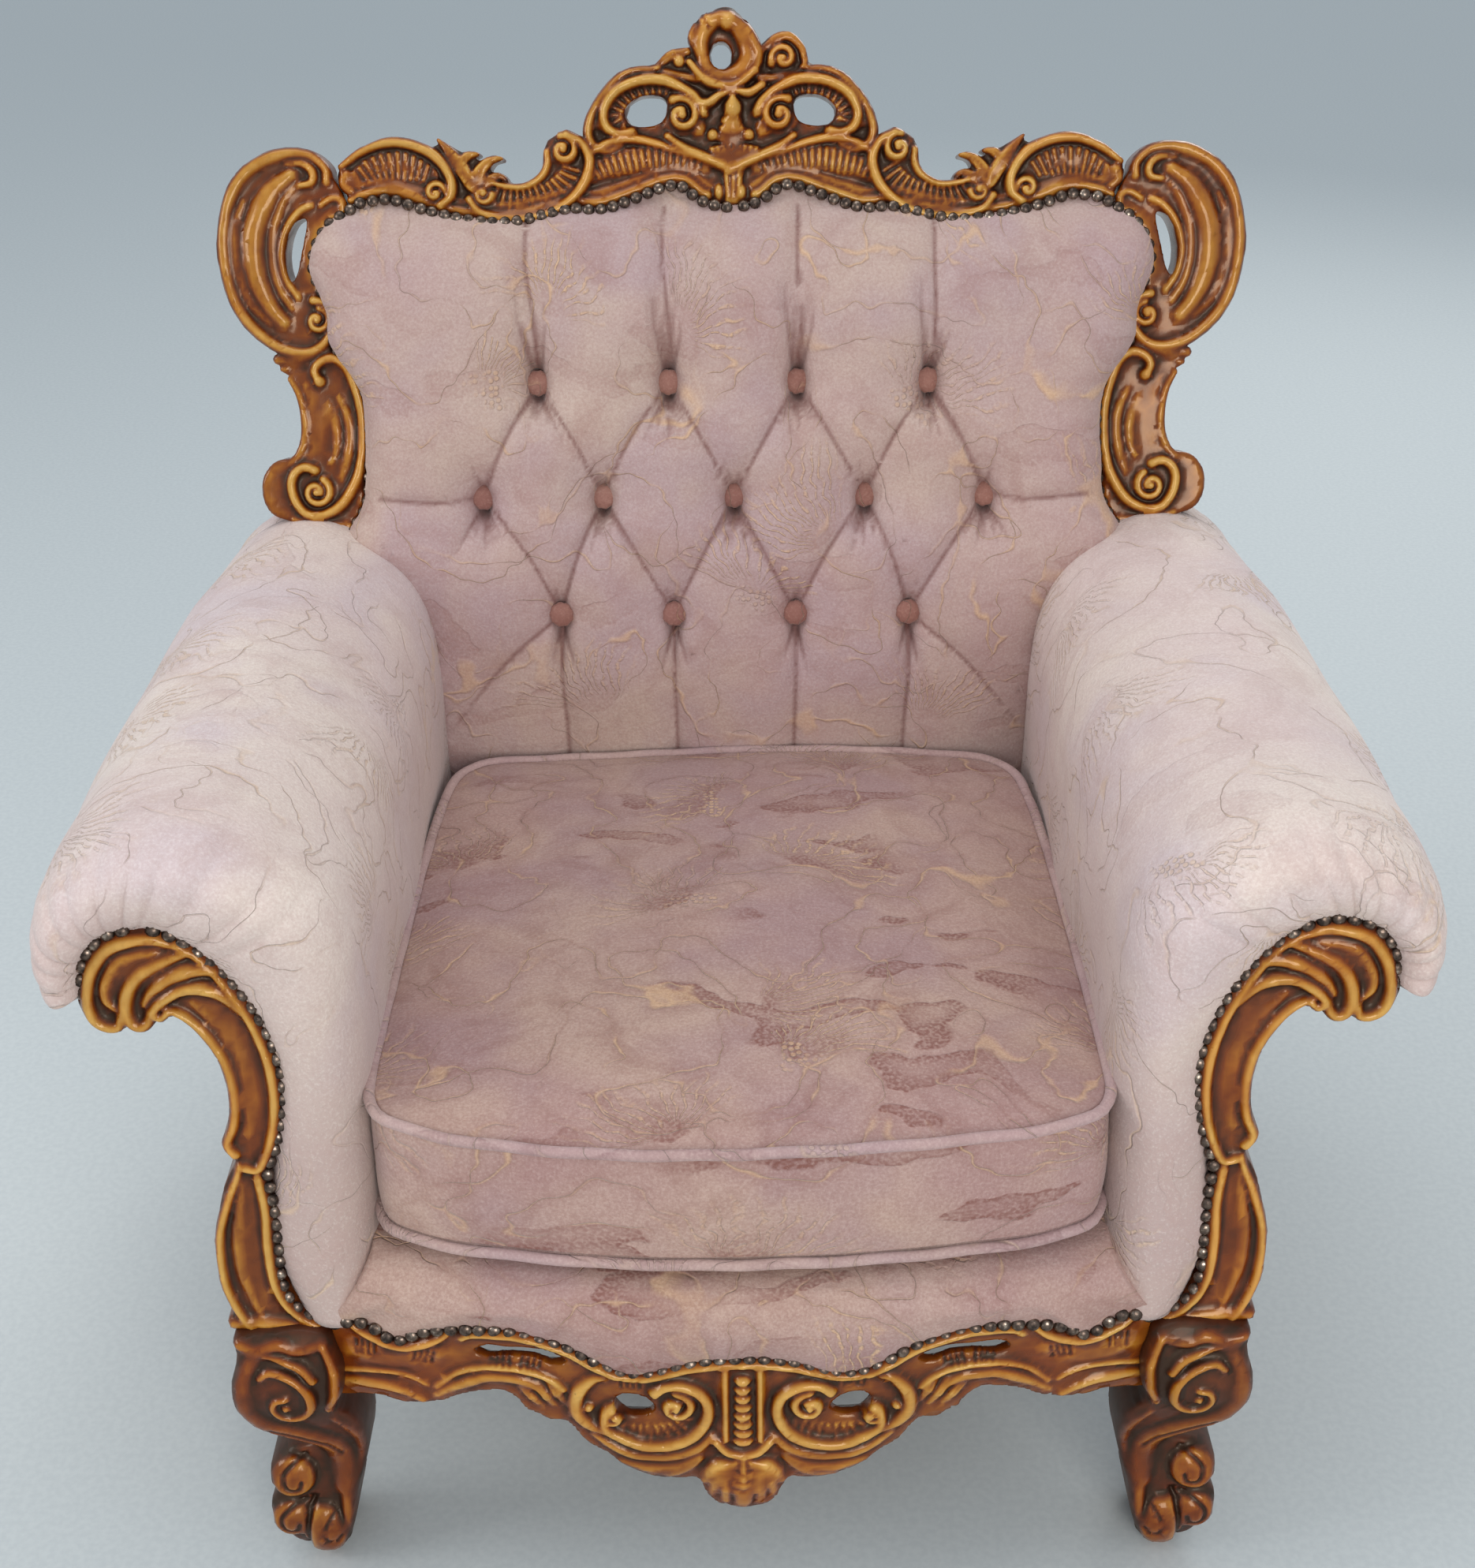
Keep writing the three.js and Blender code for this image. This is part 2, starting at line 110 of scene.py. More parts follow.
def blend(tree, factor, a, b, kind="MIX"):
    mixed = tree.nodes.new("ShaderNodeMix")
    mixed.data_type = "RGBA"
    mixed.blend_type = kind
    for socket, value in ((mixed.inputs[0], factor), (mixed.inputs[6], a), (mixed.inputs[7], b)):
        if isinstance(value, bpy.types.NodeSocket):
            tree.links.new(value, socket)
        else:
            socket.default_value = (*value, 1) if isinstance(value, tuple) else value
    return mixed.outputs[2]


def noise(tree, place, scale, detail=2.0, rough=0.5, warp=0.0):
    made = node(tree, "TexNoise", {"Vector": place, "Scale": scale, "Detail": detail,
                                   "Roughness": rough, "Distortion": warp})
    return made.outputs[0]


def finish_material(tree, shader):
    output = node(tree, "OutputMaterial")
    tree.links.new(shader.outputs[0], output.inputs[0])


floor_finish = new_material("pale_floor")
tree = floor_finish.node_tree
place = node(tree, "TexCoord").outputs["Object"]
tone = ramp(tree, noise(tree, place, 160, 3), [
    (0.3, (0.50, 0.54, 0.545)), (0.7, (0.54, 0.58, 0.58))])
finish_material(tree, node(tree, "BsdfPrincipled", {"Base Color": tone, "Roughness": 0.8}))
bpy.ops.mesh.primitive_plane_add(size=60)
floor = bpy.context.object
floor.name = "floor"
floor.data.materials.append(floor_finish)

world = bpy.data.worlds.new("soft_sky")
bpy.context.scene.world = world
world.use_nodes = True
world.node_tree.nodes["Background"].inputs[0].default_value = (0.80, 0.87, 0.95, 1)
world.node_tree.nodes["Background"].inputs[1].default_value = 0.74
for name, at, size, power, tint in (
        ("overhead_box", (-0.6, 0.2, 3.6), 2.2, 26, (1, 0.98, 0.95)),
        ("front_box", (0.6, -3.0, 1.5), 1.6, 50, (1, 0.96, 0.92)),
        ("left_box", (-2.9, -0.8, 1.8), 1.2, 24, (0.97, 0.98, 1)),
        ("rear_box", (1.6, 3.0, 2.4), 1.8, 30, (1, 0.98, 0.96))):
    lamp = bpy.data.lights.new(name, "AREA")
    lamp.size = size
    lamp.energy = power
    lamp.color = tint
    box = linked(name, lamp)
    box.location = at
    box.rotation_euler = (Vector((0, 0, 0.5)) - Vector(at)).to_track_quat("-Z", "Y").to_euler()


# Top rail of the back: a carved beech board with pierced scrolls and a crest, stained, picked
# out with dark glaze in the hollows and varnished. It is doweled onto the two side stiles.
MM = 0.001
SIDES = ((-1, "left"), (1, "right"))    # which way each side lies across the chair
DEPTH_CENTRE = 379.7            # middle of the chair, measured back from the front rail's corners
RECLINE = radians(16.9)
BACK_Y, BACK_Z = 648, 670       # a point on the back frame's front plane
FRAME_BACK = -28                # rear of the back frame, from that plane
NAIL_TOP = [
    (0, 260), (-14, 262), (-30, 268), (-44, 279), (-58, 279), (-78, 272), (-100, 264),
    (-120, 259), (-142, 261), (-160, 257), (-182, 252), (-202, 249), (-232, 251), (-262, 257),
    (-288, 265), (-305, 270), (-331, 267)]
TOP_RAIL_LEFT = [
    (-347, 277), (-352, 292), (-342, 304), (-326, 314), (-308, 319), (-288, 318), (-270, 313),
    (-258, 320), (-240, 311), (-222, 302), (-208, 288), (-197, 279), (-182, 279), (-170, 290),
    (-167, 312), (-163, 321), (-151, 326), (-138, 323), (-128, 316), (-128, 332), (-124, 347),
    (-112, 363), (-95, 373), (-75, 375)]
CREST = [
    (-62, 374), (-66, 382), (-50, 394), (-38, 395), (-32, 405), (-31, 417), (-20, 425),
    (-10, 432), (2, 432), (10, 425), (14, 412), (20, 398), (30, 398), (40, 404), (54, 402),
    (64, 391), (66, 380), (62, 374)]
KIDNEY = [(-94, 344), (-88, 353), (-76, 358), (-61, 357), (-56, 349), (-60, 337), (-72, 332),
          (-88, 333)]


def flipped(points):
    return [(-x, y) for x, y in points][::-1]


def curve(points, step=2.5, closed=False):
    """A smooth line through the points."""
    p = np.array(points, float)
    if closed:
        q = np.vstack([p[-1], p, p[0], p[1]])
    else:
        q = np.vstack([2 * p[0] - p[1], p, 2 * p[-1] - p[-2]])
    parts = []
    for a, b, c, d in zip(q[:-3], q[1:-2], q[2:-1], q[3:]):
        n = max(1, int(np.linalg.norm(c - b) / step))
        t = np.linspace(0, 1, n, endpoint=False)[:, None]
        parts.append(0.5 * (2 * b + (c - a) * t + (2 * a - 5 * b + 4 * c - d) * t ** 2
                            + (3 * b - a - 3 * c + d) * t ** 3))
    parts.append(p[:1] if closed else p[-1:])
    return np.vstack(parts)


def unit(vectors):
    return vectors / np.linalg.norm(vectors, axis=1)[:, None]


def distances(line):
    """How far along a line each of its points lies."""
    return np.concatenate([[0], np.cumsum(np.linalg.norm(np.diff(line, axis=0), axis=1))])


def points_at(line, run, at):
    """The points at given distances along a line, with run the distances of its own points."""
    return np.column_stack([np.interp(at, run, line[:, i]) for i in (0, 1)])


def offset(points, d):
    """The line moved sideways, to the left of its direction."""
    p = np.array(points, float)
    along = unit(np.gradient(p, axis=0))
    return p + d * np.column_stack([-along[:, 1], along[:, 0]])


def blur(field, radius):
    """Three box passes each way; the radius is in cells."""
    r = max(1, int(round(radius * 0.6)))
    for axis in (0, 1):
        for _ in range(3):
            padded = np.concatenate([np.repeat(field.take([0], axis), r + 1, axis), field,
                                     np.repeat(field.take([-1], axis), r, axis)], axis)
            total = padded.cumsum(axis)
            n = field.shape[axis]
            field = (total.take(range(2 * r + 1, 2 * r + 1 + n), axis)
                     - total.take(range(n), axis)) / (2 * r + 1)
    return field


FOOT = 1.3                      # a bead spreads this much wider at its foot


def bead(s, t):
    return np.clip(1 - s * s, 0, 1) ** 0.72


def leaf(s, t):
    vein = 0.4 * np.exp(-(s / 0.16) ** 2)
    return np.sqrt(np.clip(1 - s * s, 0, 1)) * (1 - vein) + 0.12 * np.cos(s * 9)


def fluted(pitch):
    """Rounded band cut across by gouge flutes; the pitch is in millimetres."""
    def section(s, t):
        cut = 0.5 + 0.5 * np.cos(2 * pi * t / pitch + 0.7 * s)
        return np.sqrt(np.clip(1 - s * s, 0, 1)) * (1 - 0.42 * (1 - cut) ** 2)
    return section


def ribbed(pitch):
    """Sunk band with raised ribs across it."""
    def section(s, t):
        return 0.42 + 0.25 * s * s + 0.42 * np.cos(2 * pi * t / pitch + 0.9 * s)
    return section


def smaller(a, b, r):
    """The smaller of two distances, with the corner between them rounded to the radius r."""
    h = np.clip(0.5 + 0.5 * (b - a) / r, 0, 1)
    return b + (a - b) * h - r * h * (1 - h)


class Board:
    """A carved board: the height of its carving and the distance inside its wood, on a grid."""

    def __init__(self, x0, x1, y0, y1, cell=1.3):
        self.cell = cell
        self.xs = np.arange(x0, x1 + cell, cell)
        self.ys = np.arange(y0, y1 + cell, cell)
        self.X, self.Y = np.meshgrid(self.xs, self.ys, indexing="ij")
        self.top = np.full(self.X.shape, -30.0)
        self.edge = np.full(self.X.shape, -40.0)

    def near(self, points, reach):
        p = np.asarray(points, float)
        i0, i1 = np.searchsorted(self.xs, [p[:, 0].min() - reach, p[:, 0].max() + reach])
        j0, j1 = np.searchsorted(self.ys, [p[:, 1].min() - reach, p[:, 1].max() + reach])
        return slice(i0, i1), slice(j0, j1)

    def inside(self, points):
        """Signed distance to a closed outline, positive inside it, on the grid near it."""
        p = np.asarray(points, float)
        at = self.near(p, 30)
        x, y = self.X[at], self.Y[at]
        far = np.full(x.shape, 1e9)
        odd = np.zeros(x.shape, bool)
        for a, b in zip(p, np.roll(p, -1, axis=0)):
            d = b - a
            t = np.clip(((x - a[0]) * d[0] + (y - a[1]) * d[1]) / max(1e-9, d @ d), 0, 1)
            far = np.minimum(far, np.hypot(x - a[0] - t * d[0], y - a[1] - t * d[1]))
            if a[1] != b[1]:
                crosses = (y < a[1]) != (y < b[1])
                odd ^= crosses & (x < a[0] + (y - a[1]) * d[0] / d[1])
        return at, np.where(odd, far, -far)

    def shape(self, points, spread=0.0):
        """Gives the board an outline alone, with no carving."""
        at, d = self.inside(points)
        self.edge[at] = d + spread

    def plate(self, points, height, smooth=True):
        at, d = self.inside(curve(points, 4, closed=True) if smooth else points)
        self.edge[at] = np.maximum(self.edge[at], d)
        self.top[at] = np.where(d > -4, np.maximum(self.top[at], height), self.top[at])

    def raise_to(self, at, raised):
        """Raises the carving, leaving a hollow fillet where two forms meet."""
        self.top[at] = -smaller(-self.top[at], -raised, 3.2)

    def pierce(self, points):
        at, d = self.inside(curve(points, 3, closed=True))
        self.edge[at] = np.minimum(self.edge[at], -d)

    def stroke(self, points, width, height, section=bead, smooth=True, wood=True):
        """A carved line; width is its half width, and either may be a list along the line."""
        p = curve(points) if smooth else np.asarray(points, float)
        widths, heights = np.atleast_1d(width), np.atleast_1d(height)
        reach = widths.max() + 3
        run = distances(p)
        at = self.near(p, reach)
        far = np.full(self.X[at].shape, 1e9)
        t_at = np.zeros_like(far)
        side = np.ones_like(far)
        for k, (a, b) in enumerate(zip(p[:-1], p[1:])):
            w = self.near([a, b], reach)
            lo = (w[0].start - at[0].start, w[1].start - at[1].start)
            cut = (slice(lo[0], lo[0] + w[0].stop - w[0].start),
                   slice(lo[1], lo[1] + w[1].stop - w[1].start))
            x, y, d = self.X[w] - a[0], self.Y[w] - a[1], b - a
            long = max(1e-9, d @ d)
            t = np.clip((x * d[0] + y * d[1]) / long, 0, 1)
            gap = np.hypot(x - t * d[0], y - t * d[1])
            better = gap < far[cut]
            far[cut] = np.where(better, gap, far[cut])
            t_at[cut] = np.where(better, run[k] + t * sqrt(long), t_at[cut])
            turn = np.where(d[0] * y - d[1] * x > 0, 1.0, -1.0)
            side[cut] = np.where(better, turn, side[cut])
        f = t_at / run[-1]
        w = np.interp(f, np.linspace(0, 1, len(widths)), widths)
        h = np.interp(f, np.linspace(0, 1, len(heights)), heights)
        s = side * far / (w * (FOOT if section is bead else 1))
        raised = np.where(np.abs(s) < 1, h * section(s, t_at), -30)
        self.raise_to(at, raised)
        if wood:
            self.edge[at] = np.maximum(self.edge[at], w - far)

    def both(self, points, *facts, **more):
        self.stroke(points, *facts, **more)
        self.stroke([(-x, y) for x, y in points], *facts, **more)

    def dome(self, x, y, rx, height, ry=None, base=0.0):
        ry = ry or rx
        at = self.near([(x, y)], max(rx, ry) + 3)
        r = np.hypot((self.X[at] - x) / rx, (self.Y[at] - y) / ry)
        up = np.where(r < 1, base + (height - base) * np.sqrt(np.clip(1 - r * r, 0, 1)), -30)
        self.raise_to(at, up)
        self.edge[at] = np.maximum(self.edge[at], (1 - r) * min(rx, ry))

    def volute(self, x, y, radius, turns, start, width, height, way=1):
        """A scroll end: a bead winding in from the radius to a round eye; angles in degrees."""
        n = int(14 * turns) + 4
        f = np.linspace(0, 1, n)
        a = np.radians(start + way * 360 * turns * f)
        r = radius * (1 - f) + 0.30 * radius * f
        line = np.column_stack([x + r * np.cos(a), y + r * np.sin(a)])
        self.dome(x, y, radius + width * 0.6, height * 0.35, base=height * 0.3)
        self.stroke(line, [width, width * 0.75], [height * 0.86, height], smooth=False)
        self.dome(x, y, 0.36 * radius, height * 1.12)

    def cut(self, points, width, depth, smooth=True):
        """A V-shaped groove along a line."""
        p = curve(points) if smooth else np.asarray(points, float)
        at = self.near(p, width + 1)
        far = np.full(self.X[at].shape, 1e9)
        for a, b in zip(p[:-1], p[1:]):
            d = b - a
            x, y = self.X[at] - a[0], self.Y[at] - a[1]
            t = np.clip((x * d[0] + y * d[1]) / max(1e-9, d @ d), 0, 1)
            far = np.minimum(far, np.hypot(x - t * d[0], y - t * d[1]))
        self.top[at] -= depth * np.clip(1 - far / width, 0, 1)


def hand_worn(x, y):
    """Slight unevenness of a surface cut by hand, about a millimetre at most."""
    return 0.22 * (np.sin(x * 0.31 + 1.7 * np.sin(y * 0.11)) * np.sin(y * 0.27 + 0.9)
                   + np.sin(x * 0.093 + y * 0.07))


def toned(piece, values):
    """Stores how deep each point lies (0 in a hollow or fold, 1 on a ridge): glaze on wood, painted
    shade on velvet.
    """
    shade = piece.data.attributes.new("glaze_and_fold_shade", "FLOAT", "POINT")
    shade.data.foreach_set("value", np.asarray(values, np.float32))


def flat_back(depth):
    """The rear of a board that is one flat face."""
    return lambda x, y: np.full(x.shape, depth)


def carved(board, name, back, place, low, high, finish, mirror=False, round_edge=2.6,
           simpler=0.35, lowest=-6, uneven=True, shade=None):
    """Turns a board into a closed mesh; back gives its rear, place sets points in the chair."""
    cell = board.cell
    solid = np.clip(board.edge / 2 + 0.5, 0, 1)
    top = np.maximum(board.top, lowest)
    wide = blur(top * solid, 3) / np.maximum(blur(solid, 3), 1e-3)
    top = np.where(board.edge > 0, top, wide)
    for axis in (0, 1):
        top = 0.5 * top + 0.25 * (np.roll(top, 1, axis) + np.roll(top, -1, axis))
    if uneven:
        top += hand_worn(board.X, board.Y)
    slope = np.hypot(*np.gradient(top, cell))
    ws = np.arange(low, high + cell, cell)
    up = (top[:, :, None] - ws) / np.sqrt(1 + np.minimum(slope, 2.5) ** 2)[:, :, None]
    edge = np.repeat(board.edge[:, :, None], len(ws), 2)
    field = smaller(smaller(edge, up, round_edge), ws - back(board.X, board.Y)[:, :, None], 1.6)
    grid = openvdb.FloatGrid(background=4.0)
    grid.copyFromArray(np.clip(-field, -4, 4).astype(np.float32))
    points, triangles, quads = grid.convertToPolygons(isovalue=0.0, adaptivity=simpler)
    x = board.xs[0] + points[:, 0] * cell
    y = board.ys[0] + points[:, 1] * cell
    w = low + points[:, 2] * cell
    i = np.clip(points[:, 0], 0, len(board.xs) - 1.001)
    j = np.clip(points[:, 1], 0, len(board.ys) - 1.001)

    def sample(values):
        a, b = i.astype(int), j.astype(int)
        u, v = i - a, j - b
        return ((values[a, b] * (1 - u) + values[a + 1, b] * u) * (1 - v)
                + (values[a, b + 1] * (1 - u) + values[a + 1, b + 1] * u) * v)
    fine = sample(top - blur(top, 2.0))
    broad = sample(top - blur(top, 6.0))
    below = np.clip(sample(top) - w, 0, 12)
    side_wall = np.clip((below - 2.5) / 4, 0, 1)
    tone = (0.50 + 0.30 * fine + 0.09 * broad) * (1 - side_wall) + 0.38 * side_wall
    tone = np.clip(tone if shade is None else sample(shade), 0, 1)
    placed = place(x, y, w) * MM
    if mirror:
        placed = placed * (-1, 1, 1)
    faces = [tuple(f) for f in triangles] + [tuple(f) for f in quads]
    if not mirror:
        faces = [f[::-1] for f in faces]
    mesh = bpy.data.meshes.new(name)
    mesh.from_pydata(placed.tolist(), [], faces)
    mesh.shade_smooth()
    mesh.materials.append(finish)
    piece = linked(name, mesh)
    toned(piece, tone)
    return piece


def faces_out(mesh, weld=0.0):
    """Turns every face of a closed mesh outward, once points nearer than weld are joined."""
    form = bmesh.new()
    form.from_mesh(mesh)
    if weld:
        bmesh.ops.remove_doubles(form, verts=form.verts, dist=weld)
    bmesh.ops.recalc_face_normals(form, faces=form.faces)
    form.to_mesh(mesh)
    form.free()


def on_back(x, v, w):
    """Points on the reclined plane of the back: across, up the back, and forward of it."""
    y = BACK_Y + v * sin(RECLINE) - w * cos(RECLINE) - DEPTH_CENTRE
    return np.column_stack([x, y, BACK_Z + v * cos(RECLINE) + w * sin(RECLINE)])


def wood_finish(name, along, darker=0.0):
    """Stained and glazed beech: dark in the hollows, golden on the ridges, with a worn varnish."""
    material = new_material(name)
    tree = material.node_tree
    place = node(tree, "TexCoord").outputs["Object"]
    glaze_and_fold_shade = node(tree, "Attribute", attribute_name="glaze_and_fold_shade").outputs["Fac"]
    drift = maths(tree, "MULTIPLY_ADD", noise(tree, place, 28, 3, 0.6), 0.42)
    # darker lowers the whole tone; the legs use it as painted shade
    drift.node.inputs[2].default_value = -0.21 - darker
    level = maths(tree, "ADD", glaze_and_fold_shade, drift, clamp=True)
    stretched = node(tree, "Mapping", {"Vector": place, "Scale": along}).outputs[0]
    grain = noise(tree, stretched, 220, 3, 0.65, 0.6)
    colour = ramp(tree, level, [
        (0.06, (0.020, 0.004, 0.001)), (0.26, (0.082, 0.014, 0.003)), (0.42, (0.178, 0.038, 0.005)),
        (0.56, (0.295, 0.090, 0.009)), (0.74, (0.455, 0.190, 0.022)), (1.0, (0.66, 0.38, 0.09))],
        smooth=False)
    colour = blend(tree, maths(tree, "MULTIPLY", grain, 0.35), colour, (0.10, 0.036, 0.010),
                   "MULTIPLY")
    red = ramp(tree, noise(tree, place, 9, 3), [(0.45, 0.0), (0.62, 0.55)])
    colour = blend(tree, red, colour, (1.0, 0.74, 0.55), "MULTIPLY")
    worn = maths(tree, "MULTIPLY", noise(tree, place, 60, 2, 0.7), 0.18)
    worn = maths(tree, "ADD", worn, ramp(tree, level, [(0.15, 0.45), (0.48, 0.10)]))
    bump = node(tree, "Bump", {"Height": noise(tree, stretched, 300, 2, 0.6), "Strength": 0.12,
                               "Distance": 0.0006})
    shader = node(tree, "BsdfPrincipled", {
        "Base Color": colour, "Roughness": worn, "Normal": bump.outputs[0], "Coat Weight": 0.12,
        "Coat Roughness": 0.10, "Coat Tint": (1.0, 0.86, 0.66, 1), "Specular IOR Level": 0.5,
        "Specular Tint": (1.0, 0.80, 0.58, 1)})
    finish_material(tree, shader)
    return material


carved_wood = wood_finish("varnished_carving", (1, 1, 0.18))
rail_wood = wood_finish("varnished_rail_carving", (0.18, 1, 1))

top_rail = Board(-366, 366, 243, 442)
lower_edge = offset(curve(NAIL_TOP, 6), -4)[1:]
outline = [(0, 262)] + lower_edge.tolist()
half = outline + curve(TOP_RAIL_LEFT, 5).tolist()
top_rail.plate(half + curve(CREST, 4).tolist() + flipped(half), 2, smooth=False)
nail_line = curve(NAIL_TOP, 5)
for distance, size, height in ((-7.5, 4.6, 8.5), (-15.5, 3.4, 5.5)):
    line = offset(nail_line, distance)
    top_rail.both([tuple(p) for p in line[4:]], size, height, smooth=False)
# gadrooned band over the middle, with its lips
top_rail.both([(-126, 290), (-112, 297), (-90, 302), (-68, 304), (-46, 302), (-24, 297)],
              [9, 13, 13, 10, 8], [8, 9.5, 9.5, 8, 7], fluted(6.2))
top_rail.both([(-124, 310), (-108, 318), (-88, 321), (-68, 317), (-50, 311), (-34, 306)],
              4, [10, 11, 9])
top_rail.both([(-56, 323), (-44, 314), (-30, 307), (-14, 301), (2, 294)], [3.5, 5, 5], [9, 12, 11])
# pierced scrolls either side of the crest
top_rail.both([(-50, 365), (-66, 367), (-84, 363), (-98, 354), (-105, 342), (-101, 331)], 8, 7,
              ribbed(6.6))
top_rail.both([(-24, 343), (-29, 353), (-40, 362), (-60, 371), (-84, 370), (-104, 360),
               (-113, 344), (-110, 331), (-99, 325), (-88, 327)],
              [4.5, 5.2, 5, 4], [13, 15, 14, 10])
top_rail.both([(-64, 381), (-94, 376), (-117, 353), (-127, 330), (-123, 316), (-110, 311),
               (-98, 316)], [3, 4.6, 4.6, 3.5], [9, 11, 11, 8])
top_rail.both([(-70, 376), (-92, 368), (-110, 351), (-118, 334)], 5, 7)
for side in (-1, 1):
    top_rail.volute(side * 43, 341, 15, 1.1, 60 if side > 0 else 120, 4.6, 15, way=side)
    top_rail.volute(side * 101, 320, 6, 0.8, 180 if side > 0 else 0, 2.8, 10, way=-side)
    top_rail.dome(side * 16, 324, 5.5, 12)
    top_rail.dome(side * 10 - 1, 275, 5, 9, ry=8)
    top_rail.dome(side * 28, 330, 7, 8, ry=10)
# shield in the middle: ledge, oval boss on stacked rings, fan of flutes, drop
top_rail.stroke([(-30, 352), (-20, 351), (-9, 358), (4, 361), (17, 360), (28, 366)], 4, 14)
for height_up, wide, tall, level_up in ((322, 15, 7, 8), (329, 12, 6, 11), (336, 10, 6, 13)):
    top_rail.dome(1, height_up, wide, level_up, ry=tall, base=4)
top_rail.dome(2, 347, 8.5, 18, ry=11)
top_rail.dome(2, 354, 4.5, 17, ry=6)
for k in range(9):
    lean = (k - 4) / 4
    arch = 3 * lean * lean
    top_rail.stroke([(3 + 20 * lean, 315 - arch), (2 + 13 * lean, 301 + arch)], 2.5, 8.5,
                    smooth=False)
for k in (-1, 0, 1):
    top_rail.stroke([(2 + 6 * k, 293), (1 + 4 * k, 266)], [2.9, 2.4], [10, 7], smooth=False)
# crest: pierced ring, crescent, ribbon and leaves
top_rail.stroke([(-24, 389), (-26, 403), (-20, 416), (-8, 423), (4, 418), (13, 406), (17, 392),
                 (11, 379), (-4, 373), (-19, 379), (-24, 389)], [6, 7, 8, 7], [10, 12, 13, 11])
top_rail.stroke([(2, 424), (14, 414), (22, 399), (24, 388), (17, 376)],
                [4, 6, 6, 4], [9, 14, 13, 9])
top_rail.stroke([(-36, 386), (-24, 373), (-8, 366), (6, 367), (22, 379)],
                [3, 5, 5, 4], [12, 15, 14])
top_rail.dome(-2, 421, 9.5, 15)
top_rail.dome(-20, 420, 8, 12)
top_rail.cut([(-26, 428), (-18, 414)], 2, 4)
top_rail.dome(-45, 387, 6, 11)
top_rail.stroke([(-64, 383), (-52, 392), (-38, 395)], [3, 5, 4], [6, 9, 8], leaf)
top_rail.stroke([(-30, 398), (-33, 408), (-30, 417)], [4, 5, 3], [8, 9, 7], leaf)
top_rail.volute(47, 389, 11, 1.1, 200, 4, 13, way=-1)
top_rail.stroke([(30, 397), (40, 405), (52, 407), (63, 397), (67, 382)], [4, 5, 4, 3], 10, leaf)
top_rail.stroke([(26, 372), (40, 372), (60, 376)], 4, 8)
top_rail.stroke([(-58, 377), (-44, 374), (-30, 372)], 4, 8)
top_rail.pierce([(-18, 392), (-14, 402), (-6, 404), (1, 397), (1, 386), (-7, 379), (-15, 383)])
# shoulder scrolls with a gouged bed behind the rim
top_rail.both([(-333, 289), (-318, 297), (-300, 300), (-282, 297), (-268, 291)], [8, 12, 12, 7], 6,
              ribbed(6.4))
top_rail.both([(-348, 299), (-331, 311), (-310, 319), (-290, 319), (-270, 312), (-257, 301),
               (-250, 287), (-251, 273), (-260, 265)], [3, 4.6, 5, 4.6], [8, 13, 14, 13])
top_rail.both([(-340, 270), (-322, 277), (-304, 280), (-288, 277), (-274, 270)], 4, 9)
top_rail.both([(-344, 292), (-346, 284), (-340, 278)], 5, 8)
for side in (-1, 1):
    top_rail.volute(side * 264, 276, 9, 1.0, 0 if side < 0 else 180, 3.8, 14, way=-side)
# leaves and the small scroll between shoulder and gadroons
for line, size, height in (
        ([(-232, 282), (-240, 296), (-252, 312), (-261, 322)], [6, 8, 6, 1.5], [11, 12, 9, 6]),
        ([(-230, 280), (-224, 294), (-214, 304), (-205, 305)], [6, 7, 5, 2], [10, 11, 9, 6]),
        ([(-228, 276), (-216, 287), (-206, 290), (-201, 286)], [5, 6, 4, 2], [9, 10, 8, 6]),
        ([(-243, 300), (-234, 308), (-226, 309)], [4, 5, 2], [9, 9, 6])):
    top_rail.both(line, size, height, leaf)
top_rail.both([(-216, 277), (-200, 270), (-182, 269), (-162, 275), (-148, 286), (-141, 299)],
              [7, 10, 10, 8], 7, ribbed(6.6))
top_rail.both([(-213, 284), (-200, 281), (-184, 281), (-170, 289), (-164, 300), (-164, 310)],
              [2.5, 3.6, 3.6], 9)
top_rail.both([(-234, 270), (-225, 259), (-206, 253), (-184, 253), (-162, 258), (-141, 271),
               (-129, 288), (-126, 304), (-133, 318), (-146, 325)], [4, 4.8, 5, 4.6], [11, 13, 13])
for side in (-1, 1):
    top_rail.volute(side * 149, 312, 12, 1.1, 80 if side > 0 else 100, 4.2, 14, way=side)
    top_rail.volute(side * 222, 274, 8, 0.9, 180 if side > 0 else 0, 3.4, 12, way=side)
top_rail.pierce(KIDNEY)
top_rail.pierce(flipped(KIDNEY))
rail = carved(top_rail, "carved_top_rail", flat_back(FRAME_BACK + 1.0), on_back,
              -32, 20, rail_wood)
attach(rail, "root")
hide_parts("back_top_rail")

# Side stiles of the back: carved beech posts, each with a large pierced ear scroll at the
# shoulder and a smaller scroll below it, stained, glazed and varnished like the top rail.
NAIL_SIDE = [
    (-345, 258), (-359, 249), (-370, 234), (-375, 220), (-375, 207), (-368, 189), (-361, 170),
    (-361, 149), (-352, 131), (-343, 119), (-333, 99), (-331, 71), (-332, 35), (-336, 0),
    (-350, -24)]
STILE_OUTER = [
    (-356, 291), (-372, 305), (-396, 311), (-420, 304), (-441, 286), (-455, 261), (-460, 230),
    (-459, 204), (-447, 174), (-426, 148), (-412, 137), (-411, 122), (-399, 112), (-392, 88),
    (-392, 66), (-399, 42), (-412, 38), (-425, 32), (-430, 20), (-430, 6), (-424, -5),
    (-412, -11), (-400, -15), (-404, -38), (-402, -62), (-353, -62)]
EAR_SLOT = [(-381, 254), (-383, 240), (-387, 224), (-391, 208), (-396, 199), (-400, 209),
            (-401, 222), (-398, 238), (-391, 251)]

